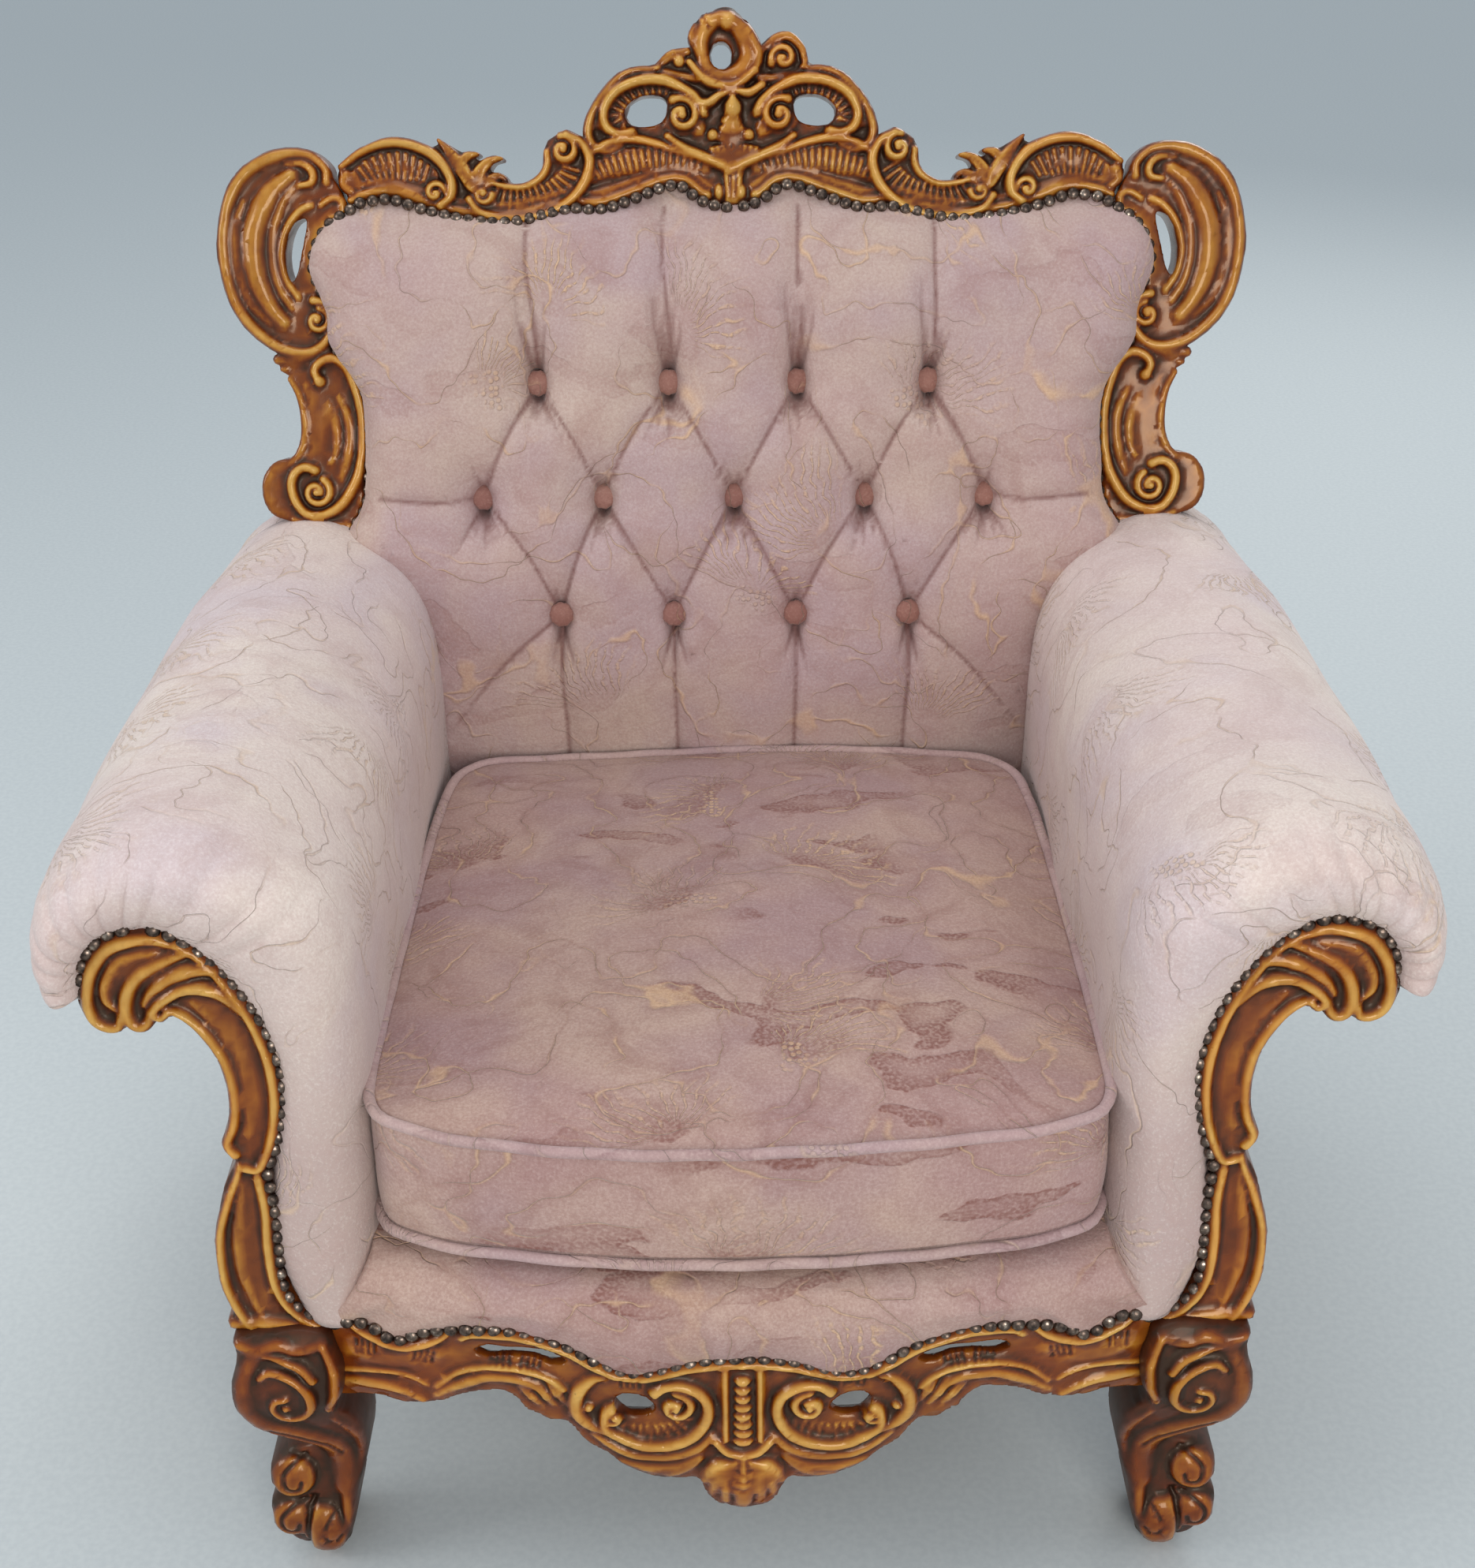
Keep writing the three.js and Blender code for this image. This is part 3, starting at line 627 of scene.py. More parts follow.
stile = Board(-474, -322, -72, 324)
inner = offset(curve(NAIL_SIDE, 6), -4)
stile.plate(inner[::-1].tolist() + [(-348, 276)] + curve(STILE_OUTER, 5).tolist(), 6, smooth=False)
side_line = curve(NAIL_SIDE[:-1], 5)
stile.stroke([tuple(p) for p in offset(side_line, -8)], 4.2, 7, smooth=False)
# ear: a leaf rolled over at the rim, with a raised middle rib between two coves
stile.stroke([(-361, 286), (-362, 298), (-376, 309), (-394, 311), (-414, 306), (-433, 294),
              (-446, 277), (-453, 256), (-456, 234), (-455, 212), (-450, 188), (-441, 169),
              (-428, 154), (-411, 142), (-394, 137), (-379, 138), (-367, 147), (-361, 160),
              (-362, 172), (-368, 181), (-377, 183)],
             [4, 6.5, 6.5, 6.5, 6, 5, 4.5], [11, 12, 12, 12, 13, 14])
stile.stroke([(-392, 292), (-409, 279), (-421, 259), (-428, 237), (-428, 216), (-424, 196),
              (-416, 178), (-405, 164)], [7, 11, 11.5, 10, 7], [12, 15, 15.5, 15, 12])
stile.stroke([(-386, 285), (-398, 273), (-407, 256), (-412, 236), (-412, 214), (-407, 194),
              (-397, 177)], [4, 6.5, 6, 5], [9, 10.5, 10.5, 9])
stile.stroke([(-376, 266), (-386, 261), (-397, 248), (-403, 232), (-404, 216), (-400, 200),
              (-391, 186)], [4, 4.5, 4.5, 4], [11, 11, 11, 10])
stile.stroke([(-436, 270), (-444, 250), (-445, 226), (-441, 200), (-431, 178), (-416, 163)],
             [3, 7, 8, 7, 4], [8, 9.5, 9.5, 8])
stile.stroke([(-396, 302), (-381, 302), (-373, 295), (-374, 286), (-384, 283)], [3, 4.5, 4, 3],
             [9, 13, 12])
stile.volute(-374, 165, 11, 1.1, 80, 4.2, 15, way=-1)
stile.stroke([(-367, 266), (-357, 272), (-349, 270), (-348, 260), (-358, 255)], [3, 4, 3], 10)
stile.stroke([(-364, 250), (-372, 239), (-377, 225), (-379, 210), (-374, 196)], 4, 9)
stile.stroke([(-388, 191), (-379, 192), (-372, 190)], [3, 5, 3], 7)
stile.pierce(EAR_SLOT)
# ledge between the scrolls, then the lower scroll wound round a drum
stile.stroke([(-412, 131), (-398, 131), (-382, 133), (-368, 139)], [5, 4.5, 4], [9, 10, 9])
stile.stroke([(-408, 122), (-394, 125), (-380, 127)], 3, 7)
stile.stroke([(-376, 112), (-379, 121), (-373, 129), (-362, 132), (-351, 125), (-343, 107),
              (-338, 83), (-338, 58), (-341, 34), (-350, 13), (-362, -2), (-379, -10),
              (-393, -8), (-402, 4), (-405, 18), (-401, 29), (-392, 34), (-383, 31)],
             [4.5, 5.4, 5.4, 5.4, 5, 4.6], [13, 14, 14, 14, 14])
stile.volute(-382, 11, 13, 1.2, 60, 4.6, 15, way=-1)
stile.stroke([(-402, 113), (-394, 98), (-390, 78), (-391, 60), (-397, 45), (-404, 38)],
             [3, 4.6, 4], [8, 10, 8])
stile.stroke([(-388, 108), (-382, 90), (-379, 72), (-381, 54), (-388, 42)],
             [3, 8, 7, 4], [7, 9, 9, 6])
stile.stroke([(-360, 100), (-351, 80), (-349, 60), (-353, 40), (-360, 22)],
             [3, 6, 6, 4], [8, 11, 11, 8])
stile.stroke([(-371, 96), (-364, 80), (-361, 64), (-363, 48), (-368, 38)], [3, 6, 5, 3], [7, 10, 9])
stile.dome(-375, 111, 6, 15)
stile.stroke([(-404, 37), (-417, 34), (-426, 22), (-427, 8), (-421, -5), (-410, -10)],
             [5, 6, 6, 5], [6, 8, 8, 6])
stile.stroke([(-411, 26), (-416, 14), (-412, 0)], 5, 4)
stile.stroke([(-404, -14), (-390, -17), (-372, -19), (-354, -20)], [4, 4.5, 4], 9)
stile.stroke([(-405, -34), (-392, -32), (-376, -30), (-360, -32)], 6, 5)
stile.stroke([(-396, -48), (-366, -48)], 12, 6)
for k in range(4):
    stile.cut([(-401 + 4 * k, 120), (-400 + 4 * k, 127)], 1.3, 2.5, smooth=False)
for side, name in SIDES:
    piece = carved(stile, "carved_%s_stile" % name, flat_back(FRAME_BACK + 1.0), on_back,
                   -32, 20, carved_wood, mirror=side > 0)
    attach(piece, "root")
    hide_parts("back_%s_stile" % name)

# Front rail: a bowed beech apron, pierced and carved with scrolls, a beaded middle pillar and a
# shell hanging below it. Its ends are tenoned into the front legs.
FACING_Y = 20                   # front face of the leaning arm facings at FACING_Z
RAIL_TOP_LINE = [
    (-311, 255), (-298, 260), (-282, 262), (-268, 252), (-256, 250), (-242, 260), (-223, 266),
    (-198, 270), (-176, 270), (-154, 265), (-133, 260), (-117, 252), (-104, 243), (-91, 237),
    (-78, 235), (-64, 238), (-44, 246), (-24, 251), (0, 252)]
RAIL_LOW_LINE = [
    (0, 103), (-18, 107), (-29, 119), (-34, 134), (-44, 134), (-61, 134), (-78, 139), (-92, 147),
    (-104, 158), (-119, 168), (-128, 181), (-136, 189), (-147, 187), (-155, 193), (-164, 196),
    (-170, 206), (-181, 213), (-196, 211), (-213, 205), (-228, 196), (-244, 192), (-258, 189),
    (-280, 192), (-311, 186)]
RAIL_SLOT = [(-201, 250), (-191, 257), (-176, 257), (-158, 258), (-142, 255), (-131, 247),
             (-140, 243), (-158, 249), (-176, 248), (-192, 245)]
RAIL_HOLE = [(-97, 210), (-88, 219), (-74, 216), (-66, 207), (-70, 199), (-84, 197)]
RAIL_BOW = 45


def on_bow(x, z, w):
    y = FACING_Y - RAIL_BOW * (1 - (x / 330) ** 2) - w - DEPTH_CENTRE
    return np.column_stack([x, y, z])


front_rail = Board(-318, 318, 96, 282)
half = curve(RAIL_TOP_LINE, 5).tolist()
low_half = curve(RAIL_LOW_LINE, 4).tolist()
front_rail.plate(half + flipped(half)[1:] + flipped(low_half)[:-1] + low_half, 5, smooth=False)
front_rail.both([(-296, 262), (-288, 256), (-277, 252), (-260, 248), (-243, 252), (-228, 259),
                 (-219, 267)], [3, 4.4, 4.4, 3], [8, 12, 12, 9])
front_rail.both([(-210, 262), (-203, 267), (-188, 270), (-168, 271), (-147, 266), (-129, 259),
                 (-113, 248), (-103, 244)], [3, 4.2, 4.2, 4], [9, 12, 12, 11])
front_rail.both([(-108, 247), (-96, 240), (-84, 237), (-72, 238), (-56, 243), (-38, 249),
                 (-18, 252), (0, 253)], 4.6, 12)
front_rail.both([(-308, 204), (-290, 207), (-270, 206), (-256, 202), (-244, 196)], [4, 6, 5, 4],
                [9, 11, 10, 8])
front_rail.both([(-308, 214), (-286, 219), (-266, 221), (-250, 218), (-240, 212)], 3, [8, 10, 8])
front_rail.both([(-233, 203), (-222, 212), (-208, 221), (-190, 229), (-168, 229), (-155, 223),
                 (-146, 214)], [3.5, 6, 6, 4], [8, 11, 11, 9])
front_rail.both([(-232, 212), (-214, 229), (-190, 238), (-164, 238), (-144, 231), (-134, 222)],
                [3, 3.4, 3.4], [8, 10.5, 10])
front_rail.both([(-300, 236), (-270, 234), (-246, 240), (-224, 247)], [5, 12, 12, 6], 7.5)
for line in ([(-166, 222), (-158, 212), (-151, 203)], [(-154, 226), (-147, 214), (-141, 204)],
             [(-145, 230), (-139, 218), (-134, 208)]):
    front_rail.both(line, [4, 4.6, 2.5], [9, 12, 8], leaf)
for x, z, lean in ((-285, 241, 0), (-238, 241, -3), (-181, 247, 0), (-156, 246, -3), (-84, 231, 0)):
    for k in range(4):
        for side in (-1, 1):
            foot = x + 4.5 * k - 7 + lean
            head = x + 4.5 * k - 7
            front_rail.cut([(side * foot, z - 6), (side * head, z + 6)], 1.5, 4.5, smooth=False)
# pierced scrolls beside the pillar
front_rail.both([(-104, 236), (-113, 233), (-124, 219), (-125, 202), (-117, 190), (-106, 184)],
                [4, 6, 6.5, 5], [9, 13, 13, 11])
front_rail.both([(-98, 206), (-104, 197), (-103, 186), (-92, 178), (-76, 171), (-56, 172),
                 (-38, 181), (-28, 196), (-26, 212), (-33, 225), (-46, 232), (-58, 231),
                 (-66, 224)], [4.5, 5.6, 5.8, 5.2, 4.8], [13, 13.5, 13.5, 14])
front_rail.both([(-112, 179), (-98, 168), (-80, 161), (-56, 161), (-36, 168), (-24, 180)],
                [4, 6, 6.5, 5], [9, 12, 12, 10])
front_rail.both([(-90, 186), (-76, 182), (-58, 184), (-42, 193)], [4, 8, 8, 5], 8, ribbed(6.6))
for side in (-1, 1):
    front_rail.volute(side * 50, 212, 13, 1.1, 90, 5, 15, way=side)
    front_rail.volute(side * 97, 199, 9, 0.9, 90, 4, 14, way=-side)
    front_rail.dome(side * 116, 206, 5, 12)
front_rail.both([(-92, 152), (-72, 148), (-50, 151), (-34, 160)], [4, 7, 7, 4], [7, 11, 11, 9])
front_rail.both([(-70, 140), (-54, 142), (-40, 150), (-32, 158)], [3, 5, 5, 3], [8, 10, 9])
# beaded pillar and hanging shell
front_rail.plate([(-16, 166), (16, 166), (16, 250), (-16, 250)], 7, smooth=False)
for k in range(8):
    front_rail.dome(0, 238 - 8.6 * k, 6.4 + 0.25 * k, 14, ry=4.6, base=8)
for side in (-1, 1):
    front_rail.stroke([(side * 13, 248), (side * 13, 178)], 3.4, 12)
    front_rail.stroke([(side * 20, 176), (side * 12, 166), (0, 162)], 4.5, 13)
    for k in range(4):
        a = radians(-14 - 24 * k)
        tip = (side * 30 * cos(a) * (1 - 0.03 * k), 142 + 33 * sin(a))
        front_rail.stroke([(side * 5, 158), (side * (5 + 16 * cos(a)), 154 + 12 * sin(a)), tip],
                          [2.6, 5.4, 6.2, 4], [12, 14, 13, 8])
front_rail.stroke([(0, 158), (0, 140), (0, 116)], [4, 7, 7.5], [13, 16, 11])
for k in range(3):
    front_rail.cut([(-7, 150 - 9 * k), (0, 147 - 9 * k), (7, 150 - 9 * k)], 1.4, 2.6)
for opening in (RAIL_SLOT, RAIL_HOLE):
    front_rail.pierce(opening)
    front_rail.pierce(flipped(opening))


def rail_back(x, z):
    """The rear of the rail, routed thin behind the pierced openings."""
    behind_slot = np.exp(-((np.abs(x) - 166) / 50) ** 4) * np.clip((z - 226) / 8, 0, 1)
    behind_hole = np.exp(-((np.abs(x) - 82) / 25) ** 4 - ((z - 206) / 19) ** 4)
    return (-23.0 + 6 * np.clip((190 - z) / 80, 0, 1)
            + 19 * np.minimum(1, behind_slot + behind_hole))


apron = carved(front_rail, "carved_front_rail", rail_back, on_bow, -27, 20, rail_wood)
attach(apron, "root")
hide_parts("front_rail")

# Arm facings: carved beech uprights under the scroll of each arm, with curled leaf lobes at the
# top, a long coved run and a C-scroll at the foot. They lean back a little and stand on the legs.
FACING_Z = 270
FACING_LEAN = tan(radians(4.3))
FACING_REAR = -33.0             # rear of a facing, from its front plane
FACING_NAILS = [
    (-462, 537), (-463, 550), (-461, 563), (-455, 575), (-443, 586), (-428, 591), (-414, 592),
    (-401, 589), (-390, 582), (-369, 562), (-350, 536), (-337, 507), (-331, 484), (-330, 462),
    (-333, 435), (-341, 408), (-347, 390), (-345, 354), (-345, 322), (-346, 296), (-340, 274),
    (-326, 258)]
FACING_OUTER = [
    (-316, 250), (-381, 250), (-384, 268), (-389, 288), (-391, 312), (-388, 345), (-380, 378),
    (-369, 402), (-374, 418), (-366, 432), (-362, 451), (-362, 469), (-367, 491), (-377, 511),
    (-391, 527), (-403, 532), (-415, 525), (-422, 517), (-431, 516), (-438, 521), (-447, 515),
    (-457, 516), (-465, 526), (-467, 538)]


def on_facing(x, z, w):
    return np.column_stack([x, FACING_Y + (z - FACING_Z) * FACING_LEAN - w - DEPTH_CENTRE, z])


facing = Board(-478, -306, 240, 602, cell=1.2)
facing.plate(curve(FACING_NAILS, 5).tolist() + curve(FACING_OUTER, 5).tolist(), 5, smooth=False)
facing.stroke([(-445, 545), (-428, 562), (-400, 560), (-384, 548)],
              [10, 20, 18, 8], [6, 8.5, 8.5, 6])
facing.stroke([(-395, 580), (-409, 585), (-426, 584), (-441, 577), (-453, 561), (-458, 545),
               (-459, 532), (-455, 521), (-447, 516), (-439, 517), (-436, 525)],
              [4, 5.5, 5.5, 5, 4.5], [9, 13, 13, 13, 12])
facing.stroke([(-406, 575), (-421, 573), (-433, 569), (-441, 559), (-446, 547), (-446, 537),
               (-440, 530)], [3, 5.5, 5, 3.5], [8, 11, 11, 9])
facing.stroke([(-385, 575), (-402, 568), (-418, 560), (-427, 550), (-432, 538), (-433, 527),
               (-429, 518), (-423, 516), (-417, 521), (-415, 528)],
              [4, 6, 5.5, 4.5], [10, 13, 13, 11])
facing.stroke([(-367, 560), (-385, 561), (-400, 555), (-412, 545), (-420, 533)], [4, 7, 6, 3],
              [10, 14, 13, 9])
facing.stroke([(-353, 528), (-364, 541), (-377, 547), (-391, 547), (-402, 541), (-410, 534),
               (-413, 528), (-409, 524), (-404, 528)], [4, 6, 6, 5, 4], [10, 14, 14, 13])
facing.stroke([(-405, 531), (-391, 523), (-378, 508), (-368, 488), (-364, 466), (-364, 449),
               (-367, 433), (-373, 418), (-368, 408)], [4, 5, 5, 4.6, 4], [11, 12, 12, 12])
facing.stroke([(-392, 580), (-375, 567), (-358, 543), (-346, 519), (-338, 492), (-335, 464),
               (-337, 438), (-343, 414), (-352, 396), (-362, 396)],
              [4, 4.6, 4.6, 4], [10, 12, 12, 11])
facing.stroke([(-386, 534), (-371, 515), (-359, 492), (-354, 468), (-354, 446), (-358, 424)],
              [3, 8, 8, 5], [6, 7.5, 7.5, 7])
# lower C-scroll and its foot
facing.stroke([(-366, 398), (-369, 388), (-378, 366), (-386, 340), (-388, 314), (-386, 290),
               (-379, 268), (-371, 254)], [3, 4.2, 4.2, 4.2, 4], [10, 12, 12, 11])
facing.stroke([(-366, 384), (-371, 352), (-374, 320), (-371, 292), (-364, 266)], [3, 6, 6, 3],
              [7, 9, 9, 7])
facing.stroke([(-354, 388), (-351, 360), (-352, 330), (-351, 302), (-346, 280), (-335, 264),
               (-321, 254)], [4, 4.4, 4.4, 4], [11, 12, 12, 11])
facing.stroke([(-361, 380), (-364, 350), (-366, 320), (-364, 294), (-357, 274)], [3, 9, 10, 9, 5],
              [4, 5, 5, 5])
facing.stroke([(-384, 256), (-368, 258), (-352, 256), (-336, 254), (-320, 252)], 6, [9, 11, 11, 9])
for side, name in SIDES:
    piece = carved(facing, "carved_%s_facing" % name, flat_back(FACING_REAR), on_facing,
                   -37, 19, carved_wood, mirror=side > 0)
    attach(piece, "root")
    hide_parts("%s_arm_facing" % name)

# Front legs: short cabriole legs in beech, with a scroll carved on each knee and a scrolled foot
# of three lobes. The front rail and the side rails are tenoned into their square tops.
# The leg wood is darker all over: painted shade for the legs standing low under the seat.
shaded_leg_wood = wood_finish("varnished_leg_carving", (1, 1, 0.18), darker=0.23)
LEG_FRONT = [
    (-312, 252), (-379, 252), (-383, 236), (-386, 212), (-384, 188), (-374, 164), (-358, 146),
    (-343, 131), (-338, 118), (-346, 111), (-362, 107), (-375, 97), (-379, 82), (-374, 70),
    (-380, 58), (-381, 44), (-374, 28), (-364, 10), (-350, 1), (-332, 0), (-321, 10),
    (-318, 26), (-314, 48), (-308, 72), (-301, 100), (-297, 124), (-297, 146), (-303, 168),
    (-312, 184)]
LEG_FACE = [(0, 40), (12, 30), (40, 26), (70, 28), (100, 34), (120, 30), (160, 10), (195, 0),
            (225, 0), (252, 4)]
LEG_REAR = [(0, 84), (20, 89), (60, 82), (105, 76), (150, 74), (190, 70), (252, 70)]


def leg_face(z):
    smooth_face = curve(LEG_FACE, 3)
    return np.interp(z, smooth_face[:, 0], smooth_face[:, 1])


def on_leg(x, z, w):
    return np.column_stack([x, leg_face(z) - w - DEPTH_CENTRE, z])


def leg_depth(x, z):
    return leg_face(z) - np.interp(z, *zip(*LEG_REAR)) + 1.5


leg = Board(-396, -288, -5, 258, cell=1.25)
leg.plate(LEG_FRONT, 4)
leg.plate([(-378, 186), (-378, 253), (-312, 253), (-312, 186)], 2, smooth=False)
leg.stroke([(-380, 248), (-366, 244), (-350, 248), (-336, 243), (-318, 247)], [5, 6, 5], [8, 10, 8])
leg.stroke([(-372, 238), (-360, 240), (-346, 236), (-334, 228), (-326, 216)],
           [3, 4.5, 4], [7, 12, 11])
leg.stroke([(-372, 232), (-380, 212), (-380, 190), (-370, 168), (-352, 151), (-335, 136),
            (-323, 118), (-317, 98), (-318, 76)],
           [6, 9, 10, 10, 10, 11, 11, 10, 9], [8, 11, 12, 13, 13, 13, 12, 11, 10])
leg.dome(-350, 196, 26, 10, ry=30, base=5)
leg.stroke([(-366, 219), (-358, 225), (-345, 222), (-334, 213), (-329, 200), (-331, 187),
            (-341, 179), (-352, 181), (-358, 190), (-355, 200), (-347, 202)],
           [3.5, 4.4, 4.4, 4, 3.6], [10, 14, 15, 15, 15])
leg.dome(-348, 192, 4.5, 16)
leg.cut([(-366, 160), (-345, 146), (-329, 130), (-318, 112)], 2.6, 3.4)
leg.stroke([(-316, 246), (-309, 226), (-310, 203), (-317, 184)], [4, 5.5, 5.5, 4], [9, 12, 12, 9])
leg.stroke([(-316, 170), (-305, 146), (-302, 120), (-307, 90), (-315, 66)],
           [3, 5, 5, 4], [6, 7, 7, 6])
leg.dome(-360, 86, 19, 15, ry=18, base=6)
leg.cut([(-348, 104), (-358, 99), (-366, 90), (-364, 78), (-355, 76), (-352, 84)], 2.4, 4)
leg.dome(-364, 44, 17, 14, ry=19, base=5)
leg.cut([(-350, 62), (-362, 58), (-371, 48), (-369, 36), (-360, 34), (-357, 42)], 2.4, 4)
leg.dome(-338, 30, 18, 17, ry=30, base=6)
leg.cut([(-344, 64), (-349, 46), (-351, 28), (-352, 10)], 3, 6)
leg.cut([(-329, 52), (-336, 40), (-336, 28), (-329, 24), (-324, 30)], 2.2, 3)
leg.stroke([(-318, 70), (-318, 46), (-323, 22)], [5, 6, 5], [9, 11, 8])
for side, name in SIDES:
    piece = carved(leg, "carved_front_%s_leg" % name, leg_depth, on_leg, -86, 19, shaded_leg_wood,
                   mirror=side > 0, round_edge=7.0)
    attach(piece, "root")
    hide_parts("front_%s_leg" % name)

# Seat rails, back cross rail and corner blocks: plain beech with softened arrises, the rails
# stained brown and varnished, the blocks left bare. The rails are doweled into posts and legs.
plain_wood = wood_finish("varnished_plain_wood", (1, 1, 0.12))
side_rail_wood = wood_finish("varnished_side_rails", (1, 0.12, 1))
cross_rail_wood = wood_finish("varnished_cross_rails", (0.12, 1, 1))
PLAIN_TONE = 0.42               # how deep the glaze is on wood without carving
raw_wood = new_material("bare_block_wood")
tree = raw_wood.node_tree
place = node(tree, "TexCoord").outputs["Object"]
long_grain = node(tree, "Mapping", {"Vector": place, "Scale": (1, 1, 0.1)}).outputs[0]
tone = ramp(tree, noise(tree, long_grain, 90, 6, 0.6, 1.0), [
    (0.35, (0.30, 0.17, 0.07)), (0.65, (0.50, 0.33, 0.16))])
finish_material(tree, node(tree, "BsdfPrincipled", {"Base Color": tone, "Roughness": 0.7}))


def softened(name, finish, radius, rounds=2, longer=1.0):
    """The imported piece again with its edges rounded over; longer lets a rail into its posts."""
    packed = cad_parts[name].data
    mesh = bpy.data.meshes.new("rounded_" + name)
    mesh.from_pydata([(v.co.x, v.co.y * longer, v.co.z) for v in packed.vertices], [],
                     [tuple(p.vertices) for p in packed.polygons])
    piece = linked("rounded_" + name, mesh)
    form = bmesh.new()
    form.from_mesh(mesh)
    bmesh.ops.remove_doubles(form, verts=form.verts, dist=0.00002)
    bmesh.ops.dissolve_limit(form, angle_limit=radians(0.6), verts=form.verts, edges=form.edges)
    sharp = [e for e in form.edges if e.is_manifold and e.calc_face_angle(0) > radians(14)]
    bmesh.ops.bevel(form, geom=sharp, offset=radius, segments=rounds, affect="EDGES", profile=0.5,
                    clamp_overlap=True)
    bmesh.ops.recalc_face_normals(form, faces=form.faces)
    form.to_mesh(mesh)
    form.free()
    toned(piece, np.full(len(mesh.vertices), PLAIN_TONE))
    mesh.materials.clear()
    mesh.materials.append(finish)
    mesh.shade_smooth()
    mesh.set_sharp_from_angle(angle=radians(40))
    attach(piece, "root")
    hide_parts(name)
    return piece


for side in ("left", "right"):
    softened("seat_%s_rail" % side, side_rail_wood, 0.003, longer=1.006)
    softened("front_%s_corner_block" % side, raw_wood, 0.0015)
    softened("rear_%s_corner_block" % side, raw_wood, 0.0015)
for name in ("seat_rear_rail", "back_cross_rail"):
    softened(name, cross_rail_wood, 0.003)

# Rear posts: each sawn in one sweep from a beech plank, upright behind the arm and raked back to
# the floor, its edges rounded with a spokeshave. The rails and the arm frame are doweled into it.
POST_FRONT = [(632, 610), (618, 470), (608, 340), (605, 250), (610, 190), (628, 135), (660, 86),
              (706, 40), (752, 0)]
POST_BACK = [(796, 0), (758, 44), (714, 100), (684, 152), (666, 210), (656, 290), (662, 470),
             (672, 598)]
POST_X, POST_HALF = 376, 23.0   # middle of a post's width, and half of it
post = Board(598, 804, -4, 616, cell=1.8)
post.shape(np.vstack([curve(POST_FRONT, 6), curve(POST_BACK, 6)]))
post.top[:] = POST_HALF
for side, name in SIDES:
    piece = carved(post, "swept_rear_%s_post" % name, flat_back(-POST_HALF),
                   lambda y, z, w: np.column_stack([-POST_X - w, y - DEPTH_CENTRE, z]), -27, 27,
                   plain_wood, mirror=side > 0, round_edge=9, uneven=False,
                   shade=np.full(post.top.shape, PLAIN_TONE))
    faces_out(piece.data)
    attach(piece, "root")
    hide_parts("rear_%s_post" % name)

# Webbing: woven jute straps stretched across the seat frame in both directions and tacked to the
# rails, open to view from below.
webbing = new_material("jute_webbing")
tree = webbing.node_tree
place = node(tree, "TexCoord").outputs["Object"]
warp = node(tree, "TexWave", {"Vector": place, "Scale": 90, "Distortion": 0.6},
            bands_direction="X").outputs["Fac"]
weft = node(tree, "TexWave", {"Vector": place, "Scale": 90, "Distortion": 0.6},
            bands_direction="Y").outputs["Fac"]
woven = maths(tree, "MULTIPLY", warp, weft)
tone = ramp(tree, woven, [(0.0, (0.10, 0.07, 0.04)), (0.6, (0.28, 0.21, 0.13))])
bump = node(tree, "Bump", {"Height": woven, "Strength": 0.5, "Distance": 0.0008})
finish_material(tree, node(tree, "BsdfPrincipled", {"Base Color": tone, "Roughness": 0.9,
                                                    "Normal": bump.outputs[0]}))
for number in range(1, 5):
    softened("seat_strap_%d" % number, webbing, 0.0008)
for number in range(1, 4):
    softened("cross_strap_%d" % number, webbing, 0.0008)

# Back upholstery: velvet over a stuffed pad, buttoned right through in three rows so that the
# fabric folds into diamonds, pleated from the buttons to the edges and nailed round the frame.


